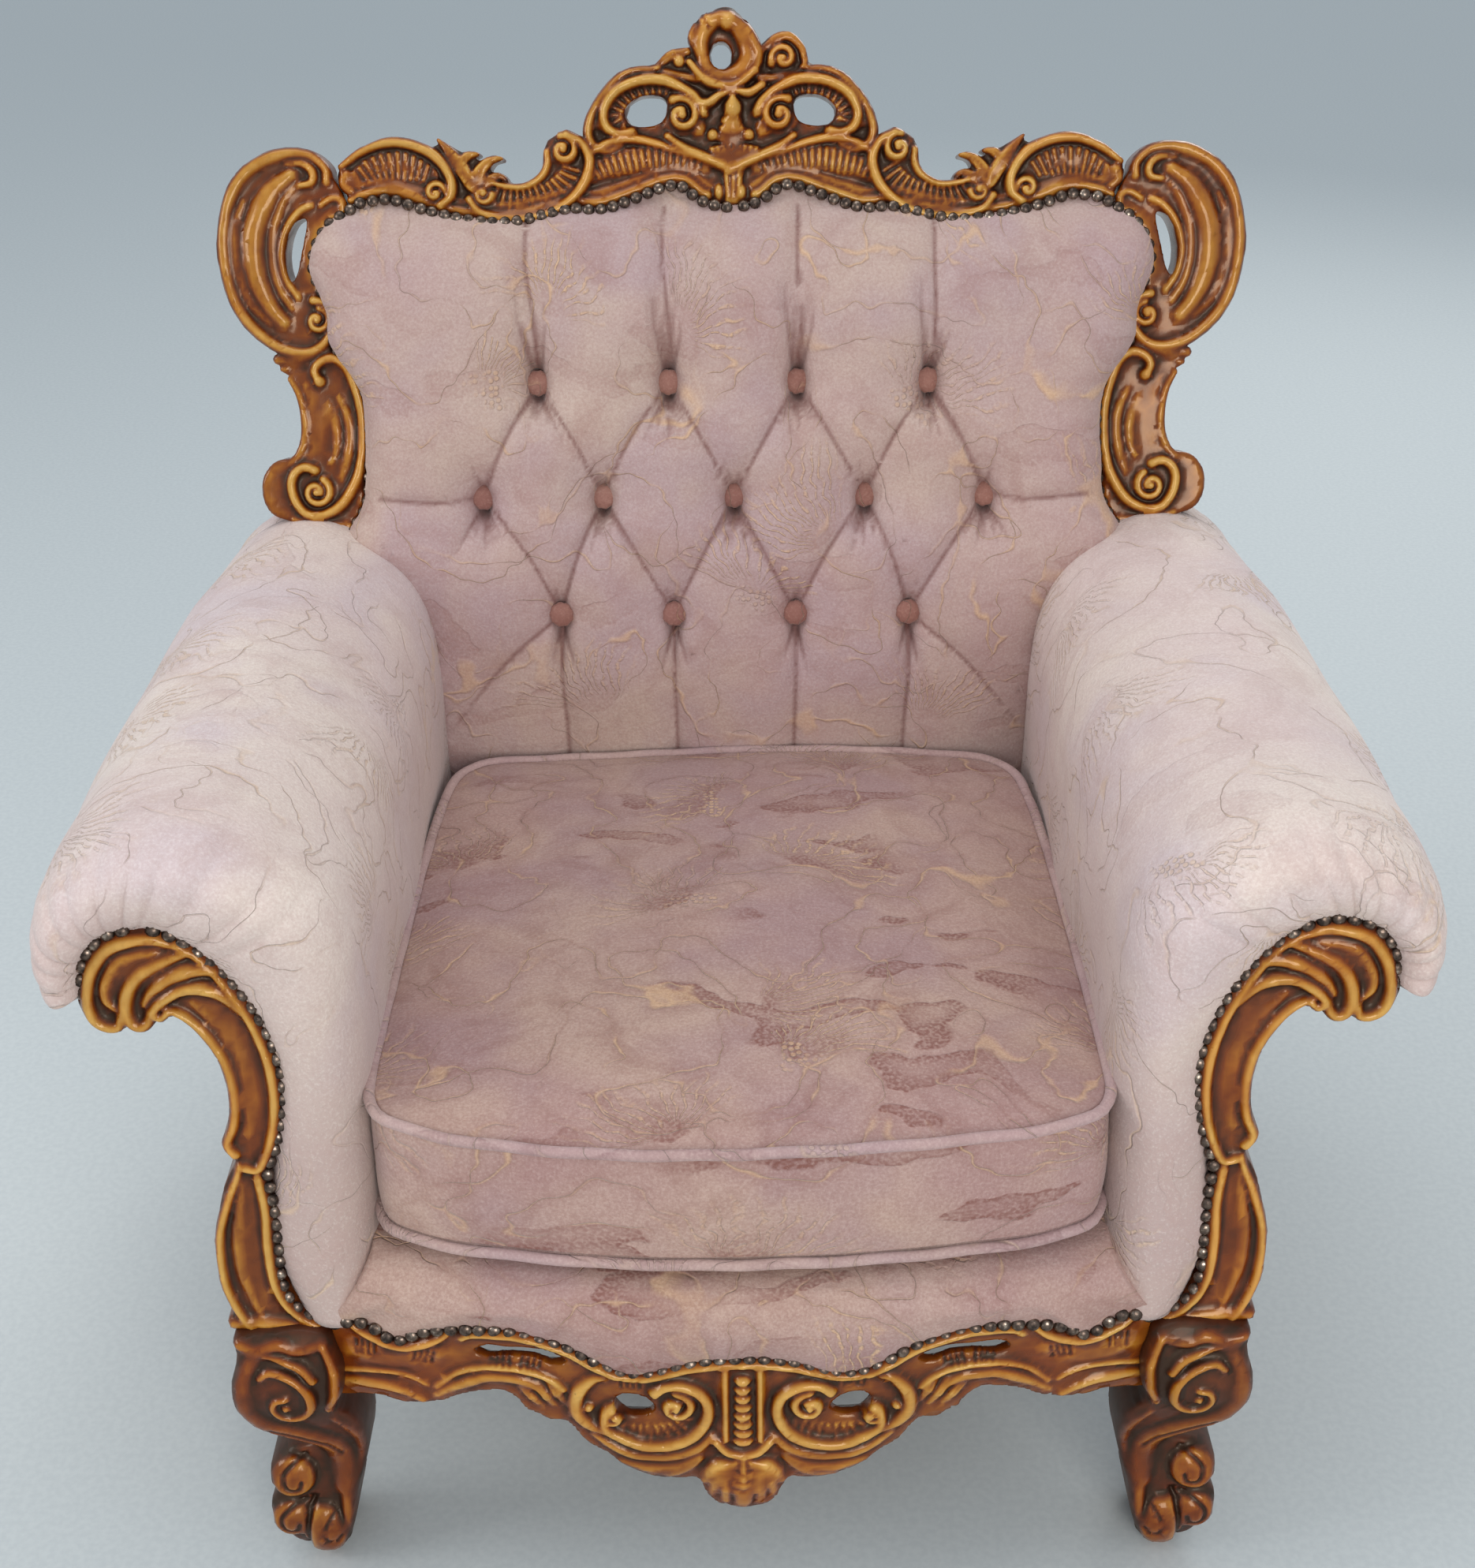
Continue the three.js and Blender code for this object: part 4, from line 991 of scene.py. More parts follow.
def velvet(name, ground, warm, patch, line, worn, leafy=0.6, colour_low_down=None):
    """Embossed jacquard velvet with vines, feathered flowers, berries and darker leaves; the
    pattern follows the cut of the cloth, in metres, and the nap is crushed and worn in places."""
    material = new_material(name)
    tree = material.node_tree

    def between(value, low, high, start=0.0, end=1.0):
        return node(tree, "MapRange", {0: value, 1: low, 2: high, 3: start, 4: end}).outputs[0]

    def shifted(vector, other, amount=None):
        if amount is not None:
            other = node(tree, "VectorMath", {0: other, 1: (amount, amount, 0)},
                         operation="MULTIPLY").outputs[0]
        return node(tree, "VectorMath", {0: vector, 1: other}, operation="ADD").outputs[0]

    def times(a, b):
        return maths(tree, "MULTIPLY", a, b)

    def most(a, b):
        return maths(tree, "MAXIMUM", a, b)

    cut = node(tree, "Attribute", attribute_name="cut").outputs["Vector"]
    fold = node(tree, "Attribute", attribute_name="glaze_and_fold_shade").outputs["Fac"]
    place = node(tree, "TexCoord").outputs["Object"]
    sway = node(tree, "TexNoise", {"Vector": cut, "Scale": 7.0, "Detail": 1.0}).outputs["Color"]
    shaky = node(tree, "TexNoise", {"Vector": cut, "Scale": 75.0, "Detail": 0.0}).outputs["Color"]
    bent = shifted(shifted(cut, sway, 0.10), shaky, 0.010)
    swell = noise(tree, cut, 34, 0)

    def vine(scale, width, level, shift):
        hills = node(tree, "TexNoise", {"Vector": shifted(bent, (shift, 0.37 * shift, 0)),
                                        "Scale": scale, "Detail": 1.0, "Roughness": 0.4},
                     noise_dimensions="2D").outputs[0]
        off = maths(tree, "ABSOLUTE", maths(tree, "SUBTRACT", hills, level))
        wide = times(between(swell, 0.36, 0.64, 0.35, 1.5), width)
        thin = node(tree, "MapRange", {0: off, 1: 0.0, 2: wide, 3: 1.0, 4: 0.0},
                    interpolation_type="SMOOTHSTEP").outputs[0]
        # the wider band it also returns is for a painted shadow round the line
        return thin, between(off, 0.0, 5 * width, 1.0, 0.0)
    gate = between(noise(tree, bent, 5.5, 1), 0.42, 0.52)
    stems, stem_shadow = vine(8.0, 0.0085, 0.5, 0.0)
    petals, petal_shadow = vine(15.0, 0.0155, 0.44, 3.1)
    vines = most(stems, times(petals, gate))
    vines = times(vines, between(noise(tree, cut, 21, 1), 0.38, 0.46, 0.12, 1.0))
    line_shadow = most(stem_shadow, times(petal_shadow, gate))
    # flowers: a fan of fine feathered strokes over a dark heart, with berries at some roots
    cells = node(tree, "TexVoronoi", {"Vector": bent, "Scale": 5.6, "Randomness": 0.85},
                 voronoi_dimensions="2D")
    spread = node(tree, "VectorMath", {0: bent, 1: cells.outputs["Position"]}, operation="SUBTRACT")
    parts = node(tree, "SeparateXYZ", {0: spread.outputs[0]})
    angle = maths(tree, "ARCTAN2", parts.outputs[1], parts.outputs[0])
    reach = node(tree, "VectorMath", {0: spread.outputs[0]}, operation="LENGTH").outputs["Value"]
    pick = node(tree, "SeparateColor", {0: cells.outputs["Color"]})
    away = maths(tree, "SUBTRACT", angle, between(pick.outputs[0], 0.0, 1.0, 0.4, 2.7))
    turned_to = between(maths(tree, "COSINE", away), 0.25, 0.5)
    ragged = maths(tree, "ADD", reach, times(noise(tree, bent, 45, 1), 0.05))
    wavy = times(noise(tree, bent, 40, 0), 5.0)
    strokes = maths(tree, "SINE", maths(tree, "ADD", times(away, 37.0), wavy))
    strokes = times(between(strokes, 0.35, 0.9), between(ragged, 0.078, 0.10, 1.0, 0.0))
    strokes = times(strokes, between(noise(tree, cut, 260, 0), 0.36, 0.52, 0.25, 1.0))
    fans = times(strokes, times(turned_to, between(reach, 0.016, 0.026)))
    heart = times(between(ragged, 0.034, 0.072, 1.0, 0.0), turned_to)
    seeds = node(tree, "TexVoronoi", {"Vector": cut, "Scale": 165, "Randomness": 0.55},
                 voronoi_dimensions="2D").outputs["Distance"]
    cluster = times(between(ragged, 0.036, 0.043, 1.0, 0.0), between(pick.outputs[1], 0.5, 0.51))
    berries = times(between(seeds, 0.28, 0.46, 1.0, 0.0), cluster)
    # darker leaves, in clusters, with one sharp and one soft edge
    stretched = node(tree, "Mapping", {"Vector": bent, "Scale": (0.55, 1.3, 1),
                                       "Rotation": (0, 0, 0.5)})
    blade = noise(tree, stretched.outputs[0], 15, 1.5, 0.5)
    leaves = times(between(blade, 0.57, 0.585), between(blade, 0.585, 0.70, 1.0, 0.25))
    leaves = times(leaves, between(noise(tree, cut, 4.5, 1), 0.46, 0.56, 0.08, 1.0))
    leaves = most(leaves, times(heart, 0.85))
    # colour: cloudy nap, then the dark of the leaves, a painted shadow round the lines, the lines,
    # rubbed places, and painted shade in the folds
    colour = blend(tree, between(noise(tree, place, 4.6, 3, 0.6), 0.36, 0.62), ground, warm)
    cool = (0.94 * ground[0], 0.97 * ground[1], 1.05 * ground[2])
    cooler = between(noise(tree, place, 7.3, 2, 0.6), 0.48, 0.64)
    colour = blend(tree, times(cooler, 0.8), colour, cool)
    # Darker towards the bottom: from 0.62 m down to 0.40 m and below, the colour blends toward a
    # darker lower colour, if one is given
    if colour_low_down:
        height = node(tree, "SeparateXYZ", {0: place}).outputs["Z"]
        colour = blend(tree, between(height, 0.40, 0.62, 0.75, 0.0), colour, colour_low_down)
    smudge = between(noise(tree, place, 13, 3, 0.65, 1.2), 0.5, 0.72)
    colour = blend(tree, times(smudge, 0.34), colour, patch)
    grainy = between(noise(tree, cut, 330, 0), 0.35, 0.6, 0.35, 1.0)
    dark = times(times(leaves, grainy), leafy)
    colour = blend(tree, dark, colour, patch)
    # Painted shadow: a soft dark band round the raised vine lines
    colour = blend(tree, times(line_shadow, 0.26 * leafy), colour, patch)
    drawn = most(vines, most(fans, berries))
    faint = between(noise(tree, cut, 9, 1), 0.35, 0.65, 0.25, 0.85)
    colour = blend(tree, times(drawn, faint), colour, line)
    rub = between(noise(tree, place, 3.1, 4, 0.7), 0.56, 0.72)
    colour = blend(tree, times(rub, 0.4), colour, worn)
    nap = noise(tree, place, 420, 2, 0.7)
    colour = blend(tree, between(nap, 0.34, 0.62, 0.30, 0.0), colour, patch)
    colour = blend(tree, between(nap, 0.56, 0.68, 0.0, 0.22), colour, worn)
    # Painted shade: points stored as lying in a fold, pleat or seam, or round a button, are
    # darkened to deep brown
    deep = between(fold, 0.10, 0.48, 0.85, 0.0)
    colour = blend(tree, deep, colour, (0.50 * patch[0], 0.34 * patch[1], 0.32 * patch[2]))
    height = maths(tree, "SUBTRACT", times(nap, 0.45), drawn)
    height = maths(tree, "ADD", height, times(leaves, 0.4))
    crushed = times(noise(tree, place, 75, 2, 0.6), 0.9)
    bump = node(tree, "Bump", {"Height": maths(tree, "ADD", height, crushed), "Strength": 0.8,
                               "Distance": 0.0013})
    shader = node(tree, "BsdfPrincipled", {
        "Base Color": colour, "Roughness": between(nap, 0.0, 1.0, 0.72, 0.95),
        "Normal": bump.outputs[0], "Sheen Weight": 0.22, "Sheen Roughness": 0.45,
        "Sheen Tint": (1.0, 0.93, 0.90, 1), "Specular IOR Level": 0.2})
    finish_material(tree, shader)
    return material


LINE = (0.62, 0.41, 0.25)
back_velvet = velvet("back_velvet", (0.455, 0.320, 0.305), (0.510, 0.390, 0.330),
                     (0.300, 0.155, 0.135), LINE, (0.54, 0.43, 0.38), leafy=0.35)
EDGE_W = 9                      # how far the fabric's nailed edge stands in front of the frame
BUTTON_W = 20
PAD_FRONT = [(300, 6), (262, 12), (235, 30), (190, 42), (100, 46), (0, 44), (-90, 34),
             (-170, 12), (-240, -16), (-352, -46), (-380, -54)]
PAD_REAR = [(-380, -64), (-352, -60), (-150, -44), (-60, -24), (300, -24)]
pad_half = (curve(NAIL_TOP, 6).tolist() + curve(NAIL_SIDE, 6).tolist()
            + [(-347, -60), (-318, -75), (-290, -100), (-276, -140), (-273, -200), (-272, -350)])
buttons = ([(x, 108) for x in (-176, -58, 58, 176)] + [(x, 6) for x in (-228, -119, 0, 119, 228)]
           + [(x, -102) for x in (-160, -56, 56, 160)])
pad = Board(-384, 384, -362, 292, cell=2.1)
pad.shape(pad_half + flipped(pad_half)[:-1], 3.5)
profile = curve(PAD_FRONT[::-1], 8)
full = np.interp(pad.Y, profile[:, 0], profile[:, 1])
rim = np.minimum(EDGE_W, full - 8)
rounded = np.clip(pad.edge / 44, 0, 1)
full = rim + (full - rim) * np.sqrt(1 - (1 - rounded) ** 2)


def crease(board, points, depths, sharp=4.0, wide=24.0, share=0.6):
    """Depth of a fold along a line, a sharp valley with soft shoulders; also marks the valley in
    board.folds as painted shade.
    """
    p = np.asarray(points, float)
    far = np.full(board.X.shape, 1e9)
    t_at = np.zeros_like(far)
    run = distances(p)
    for k, (a, b) in enumerate(zip(p[:-1], p[1:])):
        d = b - a
        t = np.clip(((board.X - a[0]) * d[0] + (board.Y - a[1]) * d[1]) / (d @ d), 0, 1)
        gap = np.hypot(board.X - a[0] - t * d[0], board.Y - a[1] - t * d[1])
        t_at = np.where(gap < far, (run[k] + t * sqrt(d @ d)) / run[-1], t_at)
        far = np.minimum(far, gap)
    depth = np.interp(t_at, np.linspace(0, 1, len(depths)), depths)
    board.folds = np.maximum(board.folds, np.minimum(1, depth / 6) * np.exp(-(far / 2.0) ** 2))
    valley = np.hypot(far, 1.6) - 1.6
    return depth * (share * np.exp(-valley / sharp) + (1 - share) * np.exp(-(far / wide) ** 2))


# pad.folds holds painted shade: dark lines along the fold valleys and a dark patch round each
# button.
pad.folds = np.zeros_like(full)
dips = np.zeros_like(full)
for x, v in buttons:
    r = np.hypot(pad.X - x, pad.Y - v)
    pulled = np.interp(v, profile[:, 0], profile[:, 1]) - BUTTON_W + 4
    dips += (pulled * (0.52 * np.exp(-r / 10) + 0.48 * np.exp(-(r / 38) ** 2))) ** 4
    # painted shade: a dark patch round each button
    pad.folds = np.maximum(pad.folds, 0.7 * np.exp(-(r / 15) ** 2))
shake = np.random.default_rng(7)
for x, v in buttons[:4] + buttons[9:]:
    for x2, v2 in buttons[4:9]:
        if abs(x2 - x) < 75:
            mid = ((x + x2) / 2 + shake.uniform(-3, 3) + 0.10 * (v - v2) * np.sign(x2 - x) * 0.3,
                   (v + v2) / 2 + shake.uniform(-3, 3))
            line = curve([(x, v), mid, (x2, v2)], 14)
            dips += crease(pad, line, [15, 9, 8, 9, 15], 3.4, 22) ** 4
for x, v in buttons[:4]:
    line = curve([(x, v), (x * 1.02 + 2, 165), (x * 1.035 - 2, 215), (x * 1.04, 262)], 14)
    dips += crease(pad, line, [15, 11, 9, 7.5, 6], 3.4, 20) ** 4
for x, v in buttons[9:]:
    line = curve([(x, v), (x * 1.01, -160), (x * 0.99, -230), (x, -352)], 14)
    dips += crease(pad, line, [13, 9, 8, 8, 8], 3.0, 20) ** 4
for side in (-1, 1):
    line = curve([(side * 228, 6), (side * 270, 2), (side * 322, 6)], 14)
    dips += crease(pad, line, [15, 10, 8, 6], 3.4, 22) ** 4
    line = curve([(side * 160, -102), (side * 215, -150), (side * 268, -215)], 14)
    dips += crease(pad, line, [9, 6, 3], 4, 22) ** 4
dips = dips ** 0.25
for x, v in buttons:
    fans = 5 if v > 0 else 3
    for k in range(fans):
        a = radians(-90 + (k - (fans - 1) / 2) * 13 + shake.uniform(-3, 3))
        long = shake.uniform(40, 78)
        line = [(x, v - 6), (x + long * cos(a), v + long * sin(a))]
        dips += crease(pad, line, [7.5, 4.5, 0.0], 2.2, 7, 0.8)
    for k in range(2):
        a = radians(90 + (k - 0.5) * 26 + shake.uniform(-5, 5))
        line = [(x, v + 6), (x + 46 * cos(a), v + 46 * sin(a))]
        dips += crease(pad, line, [6.5, 3.0, 0.0], 2.2, 7, 0.8)
for x, v in buttons[:4]:
    for k in (-1.6, -0.8, 0.9, 1.7):
        high = v + shake.uniform(70, 125)
        line = [(x + 2 * k, v + 6), (x * 1.02 + 7 * k, (v + high) / 2), (x * 1.03 + 9 * k, high)]
        dips += crease(pad, line, [5.5, 4.0, 0.0], 2.2, 7, 0.8)
pucker = np.exp(-np.clip(pad.edge, 0, 99) / 12) * np.sin((pad.X + pad.Y * 1.3) / 4.6)
slack = (1.3 * np.sin(pad.X / 37 + 1.3 * np.sin(pad.Y / 51)) * np.sin(pad.Y / 44 + 0.8)
         + 0.7 * np.sin(pad.X / 17 + pad.Y / 29))
pad.top = full - dips + 0.7 * pucker + slack * np.clip(pad.edge / 60, 0, 1)


def laid_out(piece, cut):
    """Stores where each point lies on the flat cloth, in metres, for the woven pattern."""
    stored = piece.data.attributes.new("cut", "FLOAT_VECTOR", "POINT")
    stored.data.foreach_set("vector", np.asarray(cut, np.float32).ravel())


def points_of(piece):
    found = np.empty(3 * len(piece.data.vertices), np.float32)
    piece.data.vertices.foreach_get("co", found)
    return found.reshape(-1, 3)


# The pad's colour is darkened by pad.folds: painted shade in the folds and round the buttons.
back_pad = carved(pad, "buttoned_back", lambda x, v: np.interp(v, *zip(*PAD_REAR)), on_back,
                  -70, 52, back_velvet, lowest=-70, uneven=False, round_edge=5, simpler=0.05,
                  shade=0.56 - 0.46 * np.clip(pad.folds, 0, 1))
found = points_of(back_pad)
laid_out(back_pad, np.column_stack([found[:, 0], found[:, 2] * 1.04, found[:, 1] * 0.0]))
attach(back_pad, "root")
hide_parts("back_pad")

# Buttons: small domed moulds covered in the same velvet, sunk in the pad and drawn tight.
button_velvet = velvet("button_velvet", (0.285, 0.130, 0.102), (0.34, 0.170, 0.130),
                       (0.19, 0.075, 0.060), (0.44, 0.26, 0.17), (0.42, 0.27, 0.22))
BUTTON_R = 11.5
for number, (x, v) in enumerate(buttons, 1):
    form = bmesh.new()
    bmesh.ops.create_uvsphere(form, u_segments=28, v_segments=16, radius=1)
    tilt = shake.uniform(-0.10, 0.10, 2)
    for point in form.verts:
        px, py, pz = point.co
        creased = 1 + 0.045 * cos(9 * np.arctan2(py, px) + number) * (1 - pz * pz)
        w = BUTTON_W - 2 + 6.5 * max(pz, -0.6) + BUTTON_R * (tilt[0] * px + tilt[1] * py)
        point.co = Vector(on_back(np.array([x + BUTTON_R * px * creased]),
                                  np.array([v + BUTTON_R * py * creased]), np.array([w]))[0] * MM)
    bmesh.ops.recalc_face_normals(form, faces=form.faces)
    mesh = bpy.data.meshes.new("velvet_button_%d" % number)
    form.to_mesh(mesh)
    form.free()
    mesh.shade_smooth()
    mesh.materials.append(button_velvet)
    button = linked("velvet_button_%d" % number, mesh)
    toned(button, np.full(len(mesh.vertices), 0.5))
    laid_out(button, points_of(button))
    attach(button, "root")
    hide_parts("back_button_%d" % number)

# Arms: stuffed scroll arms in the same velvet, drawn forward over the roll and gathered in
# pleats to the nails on the facing; the outside is a plain stretched panel below the scroll.
ARM_SECTION = [
    (-275, 262), (-274, 330), (-273, 400), (-274, 470), (-275, 530), (-279, 572), (-296, 609),
    (-330, 639), (-375, 656), (-420, 657), (-462, 642), (-491, 613), (-504, 580), (-501, 549),
    (-486, 525), (-462, 514), (-432, 514), (-404, 524), (-381, 508), (-365, 474), (-358, 400),
    (-357, 262)]
ARM_NAILED = [
    (-327, 258), (-345, 322), (-339, 400), (-331, 470), (-338, 508), (-351, 537), (-369, 562),
    (-389, 581), (-412, 592), (-431, 590), (-445, 585), (-456, 574), (-462, 561), (-463, 547),
    (-462, 535), (-452, 524), (-430, 521), (-403, 536), (-376, 505), (-360, 468), (-357, 400),
    (-357, 262)]
TIP = 14                        # the section point at the end of the nail line
ARM_WIDEST = [(20, 0.93), (60, 0.965), (120, 0.985), (200, 1.0), (350, 1.0), (520, 0.97),
              (640, 0.90), (705, 0.82)]


def skin(name, points, finish, caps=True):
    """A closed tube from rings of points; every ring is a closed loop."""
    rings, count = points.shape[:2]
    index = np.arange(rings * count).reshape(rings, count)
    nxt = np.roll(index, -1, axis=1)
    faces = np.stack([index[:-1], nxt[:-1], nxt[1:], index[1:]], -1).reshape(-1, 4).tolist()
    if caps:
        for end in (0, -1):
            closing = tessellate_polygon([[Vector(p) for p in points[end]]])
            faces += [tuple(index[end][list(corners)].tolist()) for corners in closing]
    mesh = bpy.data.meshes.new(name)
    mesh.from_pydata((points.reshape(-1, 3) * MM).tolist(), [], faces)
    faces_out(mesh)
    mesh.shade_smooth()
    mesh.materials.append(finish)
    return linked(name, mesh)


# The arm velvet is darker towards the bottom.
arm_velvet = velvet("arm_velvet", (0.635, 0.515, 0.485), (0.700, 0.600, 0.530),
                    (0.440, 0.300, 0.270), (0.60, 0.44, 0.31), (0.76, 0.68, 0.62),
                    leafy=0.3, colour_low_down=(0.40, 0.29, 0.26))
RING = 300                      # points round each ring of the arm
keys = np.arange(len(ARM_SECTION))
dense = np.linspace(0, len(keys) - 1, RING)
spread = []
for points in (ARM_SECTION, ARM_NAILED):
    line = curve(points, 3)
    run = distances(line)
    marks = [run[np.argmin(np.hypot(*(line - p).T))] for p in np.array(points, float)]
    at = np.interp(dense, keys, marks)
    spread.append(points_at(line, run, at))
section, nailed = spread
seam = distances(section)
shown = np.clip((TIP + 0.6 - dense) / 1.2, 0, 1)        # 1 along the nail line, 0 underneath
nail_y = FACING_Y + (nailed[:, 1] - FACING_Z) * FACING_LEAN
nail_y = nail_y - 3 * shown + 32 * (1 - shown)
outward = np.gradient(section, axis=0)
outward = unit(np.column_stack([-outward[:, 1], outward[:, 0]]))
crown_at = 9 * RING // len(keys)
if outward[crown_at][1] < 0:
    outward = -outward
over_roll = np.clip((dense - 5.0) / 1.5, 0, 1) * np.clip((TIP + 0.4 - dense) / 1.0, 0, 1)
pleat_at = np.cumsum(np.random.default_rng(3).uniform(0.7, 1.3, 13))
pleat_at = 5.6 + pleat_at / pleat_at[-1] * 8.6
pleats = np.zeros(len(dense))
for place_at in pleat_at:
    pleats = np.maximum(pleats, np.exp(-np.abs(dense - place_at) / 0.11))
ARM_END = 652                   # rear end of the arm's cover
ROLL_R = 40                     # how far back the front edge of the arm is rounded


def arm_ring(y_part, q):
    """One ring of the arm: y_part runs 0 at the rear to 1 at the front edge, q round the front."""
    y_front = nail_y + ROLL_R
    y = ARM_END + (y_front - ARM_END) * y_part
    widest = np.interp(y, *zip(*ARM_WIDEST))
    x = -275 + (section[:, 0] + 275) * widest
    z = section[:, 1]
    worn = (1.5 * np.sin(y / 53 + section[:, 1] / 41) * np.sin(seam / 47 + 0.6)
            + 0.8 * np.sin(seam / 19 + y / 31))
    sag = (-3.0 * np.exp(-((y - 330) / 150) ** 2) * np.clip((dense - 7) / 1.5, 0, 1)
           * np.clip((12 - dense) / 1.5, 0, 1))
    swell = worn + sag + 3.5 * np.exp(-((y - 95) / 60) ** 2) * over_roll
    x, z = x + outward[:, 0] * swell, z + outward[:, 1] * swell
    if q > 0:
        start = np.column_stack([x, z])
        inward = nailed - start
        far = np.linalg.norm(inward, axis=1)
        inward = inward / far[:, None]
        turn = np.minimum(ROLL_R * 0.85, 0.55 * far)
        bulge = (13 + 7 * over_roll) * shown
        first, second = min(q / 0.5, 1) * pi / 2, max(0, (q - 0.5) / 0.5)
        go = turn * (1 - cos(first)) + (far - turn) * second
        y = y - (ROLL_R + bulge) * sin(first) + bulge * second ** 2.4
        x, z = x + inward[:, 0] * go, z + inward[:, 1] * go
        fold = ((1.2 + 5.0 * min(1, q * 1.15)) * pleats * over_roll
                * sin(pi * min(0.93, 0.2 + 0.8 * q)))
        y = y + fold * sin(first)
        x = x - outward[:, 0] * fold * cos(first)
        z = z - outward[:, 1] * fold * cos(first)
        y = y + 0.6 * np.sin(dense * 37) * q * shown
    elif y_part > 0.84:
        fold = 1.3 * pleats * over_roll * ((y_part - 0.84) / 0.16) ** 2
        x, z = x - outward[:, 0] * fold, z - outward[:, 1] * fold
    return np.column_stack([x, y - DEPTH_CENTRE, z])


steps = [(f, 0) for f in np.linspace(0, 1, 82)]
steps += [(1, q) for q in np.linspace(0.05, 1, 22)]
rings = np.array([arm_ring(*step) for step in steps])
lengths = np.linalg.norm(np.diff(rings, axis=0), axis=2)
lengths = np.vstack([np.zeros(len(dense)), np.cumsum(lengths, axis=0)])
for side, name in SIDES:
    placed = rings * (-side, 1, 1)
    arm = skin("velvet_%s_arm" % name, placed, arm_velvet)
    cloth_x = np.broadcast_to(seam * side + 900 * side, lengths.shape)
    cut = np.stack([cloth_x, lengths, 0 * lengths], -1).reshape(-1, 3) * MM
    laid_out(arm, cut)
    # Painted shade: the velvet is darkened in the pleats over the front of the roll.
    toned(arm, np.array([0.56 - 0.30 * pleats * over_roll * (q * (1 - 0.3 * q))
                         for _, q in steps]).ravel())
    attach(arm, "root")
    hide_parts("%s_arm_pad" % name)

# Rear arm ends: a boxed and stuffed end panel of the same velvet that closes the roll behind the
# post and is sewn to the arm cover.
roll = rings[0][(rings[0][:, 0] < -354) & (rings[0][:, 2] > 505)]
roll = curve([(p[0], p[2]) for p in roll[::12]] + [(-354.5, 506)], 4, closed=True)
rear_roll = Board(roll[:, 0].min() - 8, -346, roll[:, 1].min() - 8, roll[:, 1].max() + 8, cell=1.8)
rear_roll.shape(roll)
swollen = np.clip(rear_roll.edge / 30, 0, 1)
rear_roll.top[:] = 36 + 6 * np.sqrt(1 - (1 - swollen) ** 2)
for side, name in SIDES:
    piece = carved(rear_roll, "velvet_%s_arm_end" % name, flat_back(-3.0),
                   lambda x, z, w: np.column_stack([x, ARM_END + w - DEPTH_CENTRE, z]), -8, 46,
                   arm_velvet, mirror=side > 0, round_edge=7, simpler=0.1, uneven=False,
                   shade=np.full(rear_roll.top.shape, 0.5))
    faces_out(piece.data)
    found = points_of(piece)
    laid_out(piece, np.column_stack([found[:, 0] + 5, found[:, 2] + found[:, 1], 0 * found[:, 0]]))
    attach(piece, "root")

# Outside arm panels and outside back: the same velvet stretched flat over thin board, slightly
# padded, and finished with a covered cord along the edges.


def panel_skin(name, outline, place, rise, finish, edge=3.0, cell=5.0):
    """A slightly domed panel on a flat outline; place sets (a, b, height) in the chair."""
    line = np.array(outline, float)
    board = Board(line[:, 0].min() - 10, line[:, 0].max() + 10, line[:, 1].min() - 10,
                  line[:, 1].max() + 10, cell)
    board.shape(line)
    soft = np.clip(board.edge / 60, 0, 1)
    board.top = (edge + rise * np.sqrt(1 - (1 - soft) ** 2)
                 + 0.5 * np.sin(board.X / 33) * np.sin(board.Y / 41))
    return carved(board, name, flat_back(-3.0), place, -12, edge + rise + 8,
                  finish, lowest=-70, uneven=False, round_edge=2.5, simpler=0.25)


def cord_along(name, points, radius, finish, closed=True):
    """A covered cord along a line of points in the chair."""
    p = np.asarray(points, float)
    if closed:
        ahead = np.roll(p, -1, axis=0) - np.roll(p, 1, axis=0)
    else:
        ahead = np.gradient(p, axis=0)
    ahead = unit(ahead)
    side = unit(np.cross(ahead, (0.05, 0.1, 1.0)))
    up = np.cross(side, ahead)
    angles = np.linspace(0, 2 * pi, 10, endpoint=False)
    ring = radius * (np.cos(angles)[None, :, None] * side[:, None] + np.sin(angles)[None, :, None]
                     * up[:, None]) + p[:, None]
    if closed:
        ring = np.vstack([ring, ring[:1]])
    piece = skin(name, ring, finish, caps=not closed)
    if closed:
        faces_out(piece.data, weld=1e-6)
    found = points_of(piece)
    laid_out(piece, found * (1, 1, 0) + found[:, 2:] * (0.3, 0.7, 0))
    toned(piece, np.full(len(found), 0.5))
    return piece


outside_velvet = velvet("outside_velvet", (0.520, 0.400, 0.370), (0.57, 0.46, 0.405),
                        (0.36, 0.235, 0.21), LINE, (0.60, 0.50, 0.44), leafy=0.35)
for side, name in SIDES:
    panel = panel_skin("outside_%s_arm" % name, [(76, 258), (76, 452), (604, 452), (604, 258)],
                       lambda y, z, w: np.column_stack([-357.5 - w, y - DEPTH_CENTRE, z]), 5,
                       outside_velvet)
    if side > 0:
        for point in panel.data.vertices:
            point.co.x = -point.co.x
    faces_out(panel.data)
    found = points_of(panel)
    laid_out(panel, np.column_stack([found[:, 1] + 2 * side, found[:, 2], 0 * found[:, 0]]))
    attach(panel, "root")
    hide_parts("%s_outside_arm_panel" % name)
    below = [(side * 365, y - DEPTH_CENTRE, 259) for y in np.linspace(74, 602, 90)]
    gimp = cord_along("outside_%s_arm_cord" % name, below, 3.6, outside_velvet, closed=False)
    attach(gimp, "root")

upper_half = offset(np.array(pad_half[:-6]), 9).tolist() + [(-362, -61)]
upper_half[0] = (0, upper_half[0][1])


def behind_back(x, v, w):
    return on_back(x, v, FRAME_BACK - w)


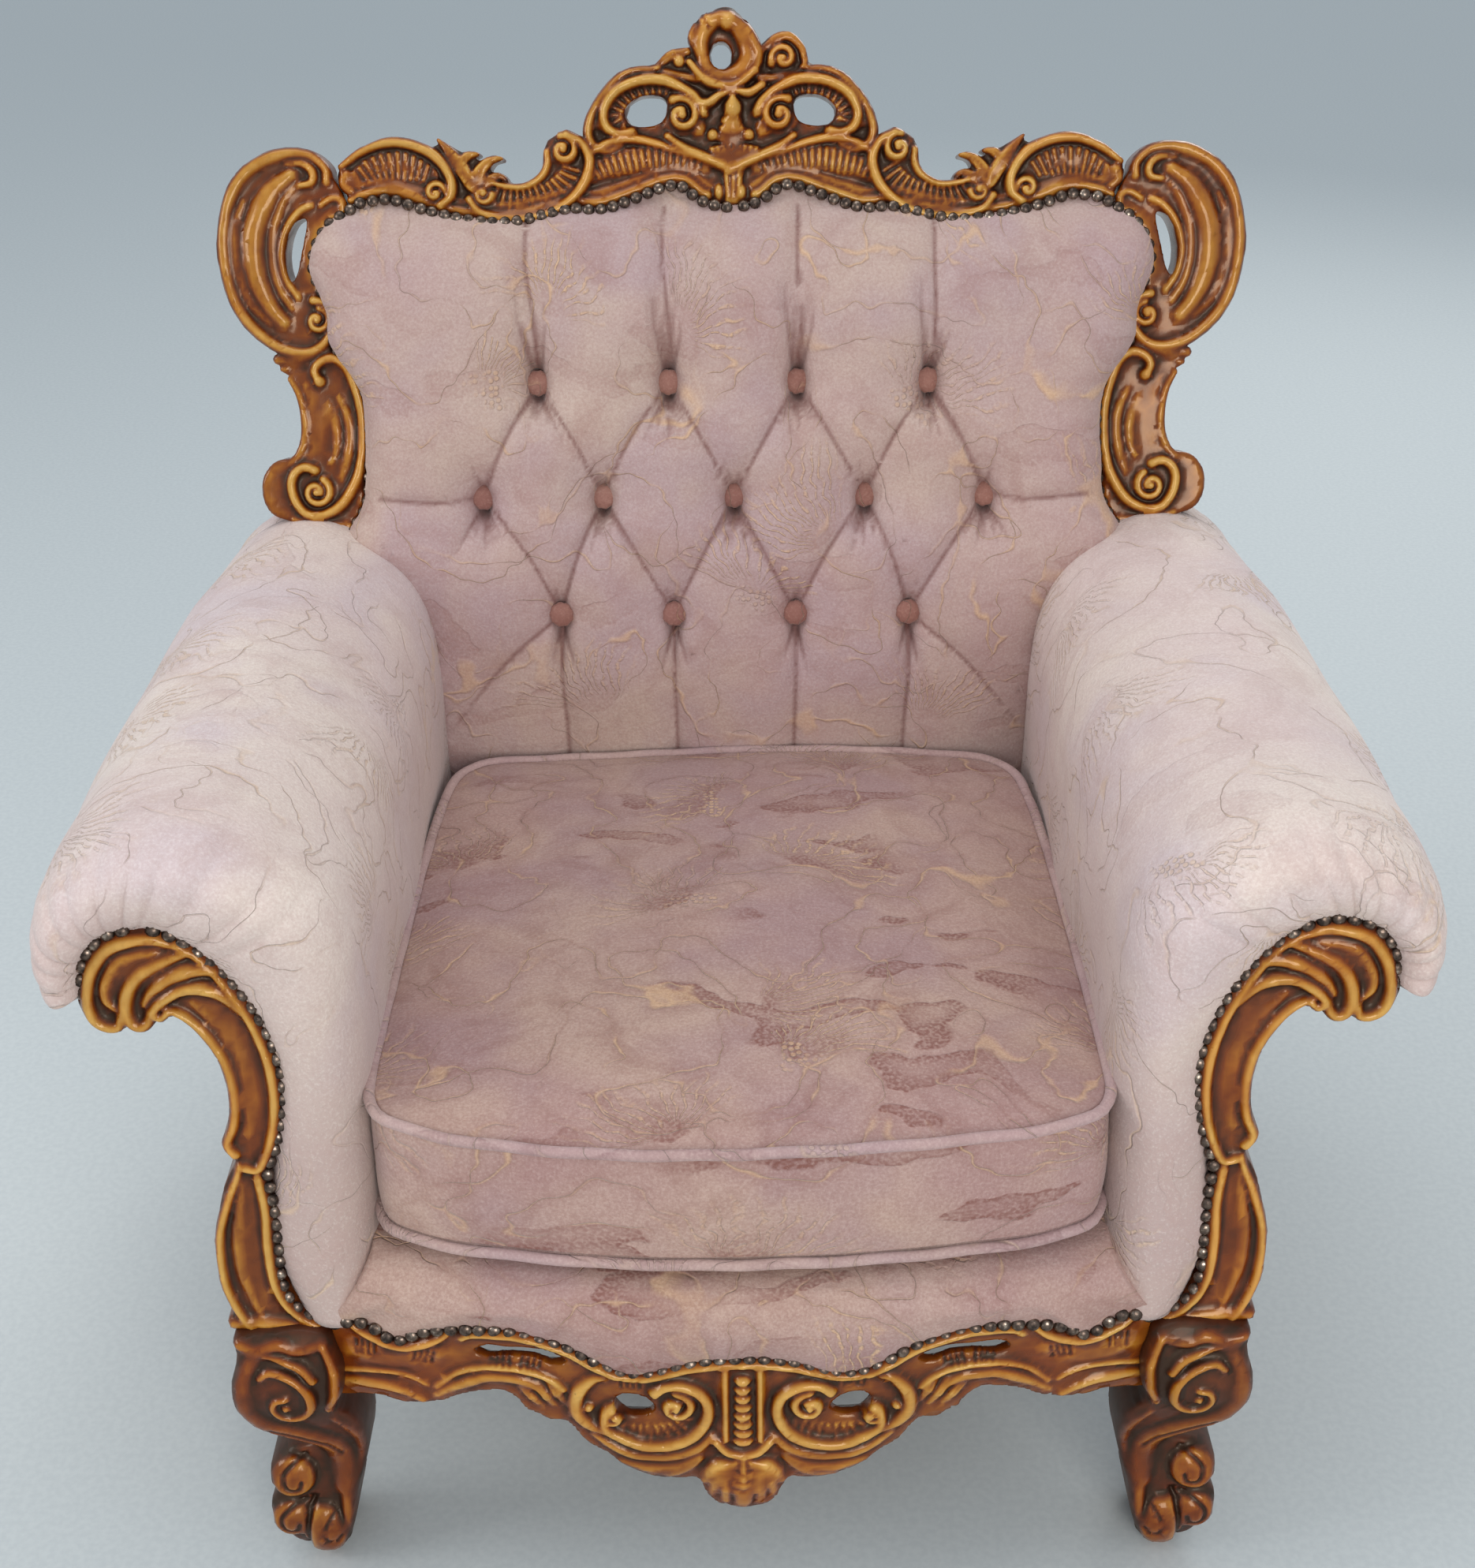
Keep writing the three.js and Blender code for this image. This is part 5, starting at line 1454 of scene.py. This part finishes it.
outside_back = panel_skin("outside_back_cover", upper_half + flipped(upper_half)[:-1],
                          behind_back, 7, outside_velvet, edge=2.5)
LOWER_LINE = [(256, 656), (470, 661), (600, 661), (616, 661)]


def behind_lower(x, z, w):
    return np.column_stack([x, np.interp(z, *zip(*LOWER_LINE)) + w - DEPTH_CENTRE, z])


lower_back = panel_skin("outside_back_lower_cover",
                        [(-352, 257), (-352, 614), (352, 614), (352, 257)],
                        behind_lower, 5, outside_velvet)
for panel, covered in ((outside_back, "outside_back_upper"), (lower_back, "outside_back_lower")):
    faces_out(panel.data)
    found = points_of(panel)
    laid_out(panel, np.column_stack([found[:, 0] + 3, found[:, 2], 0 * found[:, 0]]))
    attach(panel, "root")
    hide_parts(covered)
edge_line = curve((upper_half + flipped(upper_half)[:-1])[::3], 6, closed=True)
gimp = cord_along("outside_back_cord", on_back(edge_line[:, 0], edge_line[:, 1],
                  np.full(len(edge_line), FRAME_BACK - 3.0)), 3.6, outside_velvet)
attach(gimp, "root")

# Seat deck: velvet over the sprung seat, rolled over the front edge and pulled down to the nails
# on the carved rail; most of it is hidden by the cushion.
seat_velvet = velvet("seat_velvet", (0.395, 0.250, 0.230), (0.48, 0.335, 0.275),
                     (0.200, 0.078, 0.062), LINE, (0.52, 0.39, 0.34), leafy=0.9)
rail_line = curve(RAIL_TOP_LINE, 4)
rail_x, rail_z = rail_line[:, 0], rail_line[:, 1]
deck_rings = []
for x in np.linspace(-277, 277, 231):
    z0 = np.interp(-abs(x * 1.155), rail_x, rail_z) + 1
    y0 = FACING_Y - RAIL_BOW * (1 - (x * 1.155 / 330) ** 2) - 4
    top = 320 - 3 * (x / 277) ** 4
    ripple = 1.1 * sin(x / 13 + 1.2 * sin(x / 41)) + 0.8 * sin(x / 5.1)
    path = curve([(y0, z0), (y0 - 7 + ripple, z0 + 14), (y0 - 11 + 0.5 * ripple, (z0 + top) / 2),
                  (y0 - 5, top - 12), (y0 + 12, top), (y0 + 40, top + 3), (100, 324), (300, 321),
                  (590, 313)], 7)
    run = distances(path)
    share = np.concatenate([np.linspace(0, 130, 48), np.linspace(150, run[-1], 22)])
    path = points_at(path, run, share)
    fan = 1 + 0.155 * np.clip((top - path[:, 1]) / (top - z0), 0, 1) ** 1.3 * (path[:, 0] < y0 + 20)
    ring = [(x * k, y, z) for k, (y, z) in zip(fan, path)]
    ring += [(x, 590, 258), (x, 300, 258), (x, y0 + 26, 258)]
    deck_rings.append(ring)
deck = skin("velvet_deck", np.array(deck_rings) - (0, DEPTH_CENTRE, 0), seat_velvet)
found = points_of(deck)
laid_out(deck, np.column_stack([found[:, 0] + 4, found[:, 1] + found[:, 2] + 2, 0 * found[:, 0]]))
toned(deck, np.full(len(found), 0.52))
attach(deck, "root")
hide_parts("seat_deck")

# Seat cushion: a loose feather and foam cushion with a bowed front, boxed with a velvet border
# and corded along both seams. The filling is pressed out against the cloth by a simulation.
CUSHION_LOW, CUSHION_HIGH = 338, 440    # heights of the two corded seams
PRESSURE, CLOTH_STEPS = 4, 20           # of the filling, and how long it works on the cloth
TOP_SWELL, BORDER_SWELL = 0.016, 0.007  # the most that each may swell, in metres


def plan_corner(n):
    """Half of the cushion's plan, from the middle of the front round to the middle of the back."""
    front = [(x, 20 - 37 * (1 - (x / 275) ** 2)) for x in (0, 60, 120, 180, 215)]
    side = [(242, 16), (258, 26), (267, 42), (271, 70), (271.5, 180), (270, 300), (267, 420),
            (263, 500), (257, 540), (244, 562), (222, 574)]
    rear = [(160, 581), (80, 585), (0, 587)]
    line = curve(front + side + rear, 4)
    run = distances(line)
    return points_at(line, run, np.linspace(0, run[-1], n))


half_plan = plan_corner(111)
plan = np.vstack([(half_plan * (-1, 1))[::-1], half_plan[1:-1]])
middle = np.array([0, 285])
rings = []


def seat_swell(p):
    """How far the cushion's top stands up over its seams, from its plan position."""
    a = np.clip(np.abs(p[:, 0]) / 272, 0, 1)
    b = np.clip(np.abs(p[:, 1] - 285) / 302, 0, 1)
    crown = (1 - a ** 2.6) * (1 - b ** 2.8)
    dent = np.exp(-((p[:, 0] + 12) / 150) ** 2 - ((p[:, 1] - 340) / 150) ** 2)
    return crown, dent


def seam_drop(p):
    """The seams of an old cushion wander a little up and down."""
    return (2.4 * np.sin(p[:, 0] / 74 + 0.6) + 1.6 * np.sin(p[:, 1] / 63 + 1.1)
            - 5 * np.exp(-((p[:, 1] + 10) / 40) ** 2) * (1 - (p[:, 0] / 275) ** 2))


inner_steps = 1 - np.linspace(0, 1, 46) ** 1.15
for f in inner_steps[::-1][:-1]:
    p = middle + (plan - middle) * max(f, 0.004)
    crown, dent = seat_swell(p)
    slack = 1.6 * np.sin(p[:, 0] / 31 + 1.7 * np.sin(p[:, 1] / 47)) * np.sin(p[:, 1] / 38 + 1)
    z = CUSHION_HIGH + seam_drop(p) * f + 15 * crown - 3 * dent + slack * crown
    rings.append(np.column_stack([p, z]))
grow = unit(plan - middle)
for k in range(17):
    t = k / 16
    out = 4.5 * (sin(pi * t)) ** 0.6
    tuck = 1.8 * np.sin(plan[:, 0] / 26 + 5 * t) * sin(pi * t)
    z = CUSHION_HIGH + seam_drop(plan) + (CUSHION_LOW - CUSHION_HIGH - 0.6 * seam_drop(plan)) * t
    rings.append(np.column_stack([plan + grow * (out + tuck * 0.5)[:, None], z]))
for f in inner_steps[1:]:
    p = middle + (plan - middle) * max(f, 0.004)
    rings.append(np.column_stack([p, np.full(len(p), CUSHION_LOW - 6.0) + 6 * f ** 8
                                  + 0.4 * seam_drop(p) * f]))
rings = np.array(rings) - (0, DEPTH_CENTRE, 0)
top_seam, low_seam = len(inner_steps) - 1, len(inner_steps) + 15
cushion = skin("velvet_seat_cushion", rings, seat_velvet)
start = points_of(cushion).copy()
count = rings.shape[1]
ring_of = np.repeat(np.arange(len(rings)), count)
held = cushion.vertex_groups.new(name="sewn_seams")
fixed = np.flatnonzero((ring_of == top_seam) | (ring_of >= low_seam))
held.add(fixed.tolist(), 1.0, "REPLACE")
cloth = cushion.modifiers.new("filling", "CLOTH")
cloth.settings.vertex_group_mass = "sewn_seams"
cloth.settings.quality = 6
cloth.settings.mass = 0.4
cloth.settings.tension_stiffness = 18
cloth.settings.compression_stiffness = 18
cloth.settings.bending_stiffness = 0.6
cloth.settings.use_pressure = True
cloth.settings.uniform_pressure_force = PRESSURE
cloth.settings.effector_weights.gravity = 0
cloth.collision_settings.use_self_collision = False
for step in range(1, CLOTH_STEPS + 1):
    bpy.context.scene.frame_set(step)
seen = cushion.evaluated_get(bpy.context.evaluated_depsgraph_get())
swollen = bpy.data.meshes.new_from_object(seen)
moved = np.empty(3 * len(swollen.vertices), np.float32)
swollen.vertices.foreach_get("co", moved)
bpy.data.meshes.remove(swollen)
moved = moved.reshape(-1, 3) - start
far = np.linalg.norm(moved, axis=1)[:, None]
limit = np.where(ring_of < top_seam, TOP_SWELL, BORDER_SWELL)[:, None]
moved *= np.minimum(1, limit / np.maximum(far, 1e-6))
cushion.modifiers.clear()
bpy.context.scene.frame_set(1)
cushion.data.vertices.foreach_set("co", (start + moved).ravel().astype(np.float32))
cushion.data.update()
border = (ring_of > top_seam) & (ring_of < low_seam)
around = np.tile(np.arange(count) * 7.5 * MM, len(rings))
cut = np.where(border[:, None], np.column_stack([around + 9, start[:, 2], 0 * around]),
               start * (1, 1, 0) + (6, 5, 0))
laid_out(cushion, cut)
near_seam = np.minimum(np.abs(ring_of - top_seam), np.abs(ring_of - low_seam))
# Painted shade: the velvet is darkened along both seam rings.
toned(cushion, np.where(near_seam == 0, 0.22, 0.54))
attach(cushion, "root")
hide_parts("seat_cushion")
piping_velvet = velvet("piping_velvet", (0.44, 0.30, 0.29), (0.50, 0.36, 0.32),
                       (0.26, 0.15, 0.15), (0.5, 0.36, 0.28), (0.55, 0.42, 0.38))
for name, ring in (("top", top_seam), ("lower", low_seam)):
    line = rings[ring] + np.column_stack([grow * 3.0, np.zeros(count)])
    wobble = np.sin(np.arange(count) * 0.9)[:, None] * (0.15, 0.15, 0.35)
    piping = cord_along("cushion_%s_piping" % name, line + wobble, 4.4, piping_velvet)
    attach(piping, "root")

# Nails: round-headed antiqued nails, set close together by hand along every edge of the velvet
# against the carving; a few have tilted and one is missing from the left arm.
nail_metal = new_material("antiqued_nails")
tree = nail_metal.node_tree
place = node(tree, "TexCoord").outputs["Object"]
tarnish = noise(tree, place, 160, 4, 0.6)
tone = ramp(tree, tarnish, [(0.35, (0.040, 0.029, 0.024)), (0.52, (0.125, 0.090, 0.070)),
                            (0.70, (0.38, 0.31, 0.25))])
finish_material(tree, node(tree, "BsdfPrincipled", {
    "Base Color": tone, "Metallic": 0.85,
    "Roughness": ramp(tree, tarnish, [(0.3, 0.42), (0.7, 0.22)])}))

PITCH = 10.9                    # from nail to nail, with the heads touching
HEAD_SIZES = (("Head radius", 0.0055), ("Head height", 0.0037), ("Tilt", 0.15))
nailing = bpy.data.node_groups.new("nails_along_edge", "GeometryNodeTree")
nailing.interface.new_socket("Nail points", in_out="INPUT", socket_type="NodeSocketGeometry")
for label, value in HEAD_SIZES:
    made = nailing.interface.new_socket(label, in_out="INPUT", socket_type="NodeSocketFloat")
    made.default_value = value
nailing.interface.new_socket("Nails", in_out="OUTPUT", socket_type="NodeSocketGeometry")


def geometry_node(kind, links=None, **settings):
    return node(nailing, kind, links, family="", **settings)


given = geometry_node("NodeGroupInput")
head = geometry_node("GeometryNodeMeshUVSphere", {"Segments": 12, "Rings": 7, "Radius": 1.0})
size = geometry_node("ShaderNodeCombineXYZ", {0: given.outputs[1], 1: given.outputs[1],
                                              2: given.outputs[2]})
head = geometry_node("GeometryNodeTransform", {"Geometry": head.outputs[0],
                                               "Scale": size.outputs[0]})
facing_out = geometry_node("GeometryNodeInputNamedAttribute", {"Name": "facing_out"},
                           data_type="FLOAT_VECTOR")
shift = geometry_node("FunctionNodeRandomValue", {"Min": (-1, -1, -1), "Max": (1, 1, 1), "Seed": 5},
                      data_type="FLOAT_VECTOR")
shift = geometry_node("ShaderNodeVectorMath", {0: shift.outputs[0], "Scale": given.outputs[3]},
                      operation="SCALE")
aim = geometry_node("ShaderNodeVectorMath", {0: facing_out.outputs[0], 1: shift.outputs[0]})
turn = geometry_node("FunctionNodeAlignRotationToVector", {"Vector": aim.outputs[0]}, axis="Z")
points = geometry_node("GeometryNodeMeshToPoints", {"Mesh": given.outputs[0]})
placed = geometry_node("GeometryNodeInstanceOnPoints", {
    "Points": points.outputs[0], "Instance": head.outputs[0], "Rotation": turn.outputs[0]})
real = geometry_node("GeometryNodeRealizeInstances", {0: placed.outputs[0]})
smooth = geometry_node("GeometryNodeSetShadeSmooth", {0: real.outputs[0]})
painted = geometry_node("GeometryNodeSetMaterial", {0: smooth.outputs[0], "Material": nail_metal})
geometry_node("NodeGroupOutput", {0: painted.outputs[0]})


def stepped(line, pitch=PITCH):
    """Places a nail's pitch apart along a line of (x, y) points, with slight hand spacing."""
    p = np.asarray(line, float)
    run = distances(p)
    n = int(run[-1] / pitch)
    at = np.linspace(0.4 * pitch, run[-1] - 0.4 * pitch, n)
    at += np.random.default_rng(n).uniform(-0.5, 0.5, n)
    return points_at(p, run, at)


def nail_row(name, spots, out):
    mesh = bpy.data.meshes.new(name + "_places")
    mesh.from_pydata((spots * MM).tolist(), [], [])
    stored = mesh.attributes.new("facing_out", "FLOAT_VECTOR", "POINT")
    stored.data.foreach_set("vector", np.asarray(out, np.float32).ravel())
    source = linked(name + "_places", mesh)
    grown = source.modifiers.new("nails", "NODES")
    grown.node_group = nailing
    sockets = {s.name: s.identifier for s in nailing.interface.items_tree if s.in_out == "INPUT"}
    for label, value in HEAD_SIZES:
        grown[sockets[label]] = value
    seen = source.evaluated_get(bpy.context.evaluated_depsgraph_get())
    nails = linked(name, bpy.data.meshes.new_from_object(seen))
    nails.data.name = name
    source.modifiers.clear()
    bpy.data.objects.remove(source)
    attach(nails, "root")


around_back = pad_half[:-6] + [(-352, -44)]
line = stepped(offset(np.array(around_back + flipped(around_back)[:-1]), -0.5)[::-1])
out = np.tile((0, -cos(RECLINE), sin(RECLINE)), (len(line), 1))
nail_row("back_nails", on_back(line[:, 0], line[:, 1], np.full(len(line), 10.0)), out)
for side, name in SIDES:
    line = stepped(curve(FACING_NAILS, 3))
    if side < 0:
        line = line[~((line[:, 0] > -428) & (line[:, 0] < -416) & (line[:, 1] > 585))]
    lean = (0, -1, FACING_LEAN)
    spots = on_facing(line[:, 0], line[:, 1], np.full(len(line), 5.0)) * (-side, 1, 1)
    nail_row("%s_facing_nails" % name, spots, np.tile(lean, (len(line), 1)))
line = stepped([(x, z + 3.5) for x, z in curve(RAIL_TOP_LINE + flipped(RAIL_TOP_LINE)[1:], 3)])
spots = on_bow(line[:, 0], line[:, 1], np.full(len(line), 6.5))
nail_row("front_rail_nails", spots, np.tile((0, -1, 0.12), (len(line), 1)))
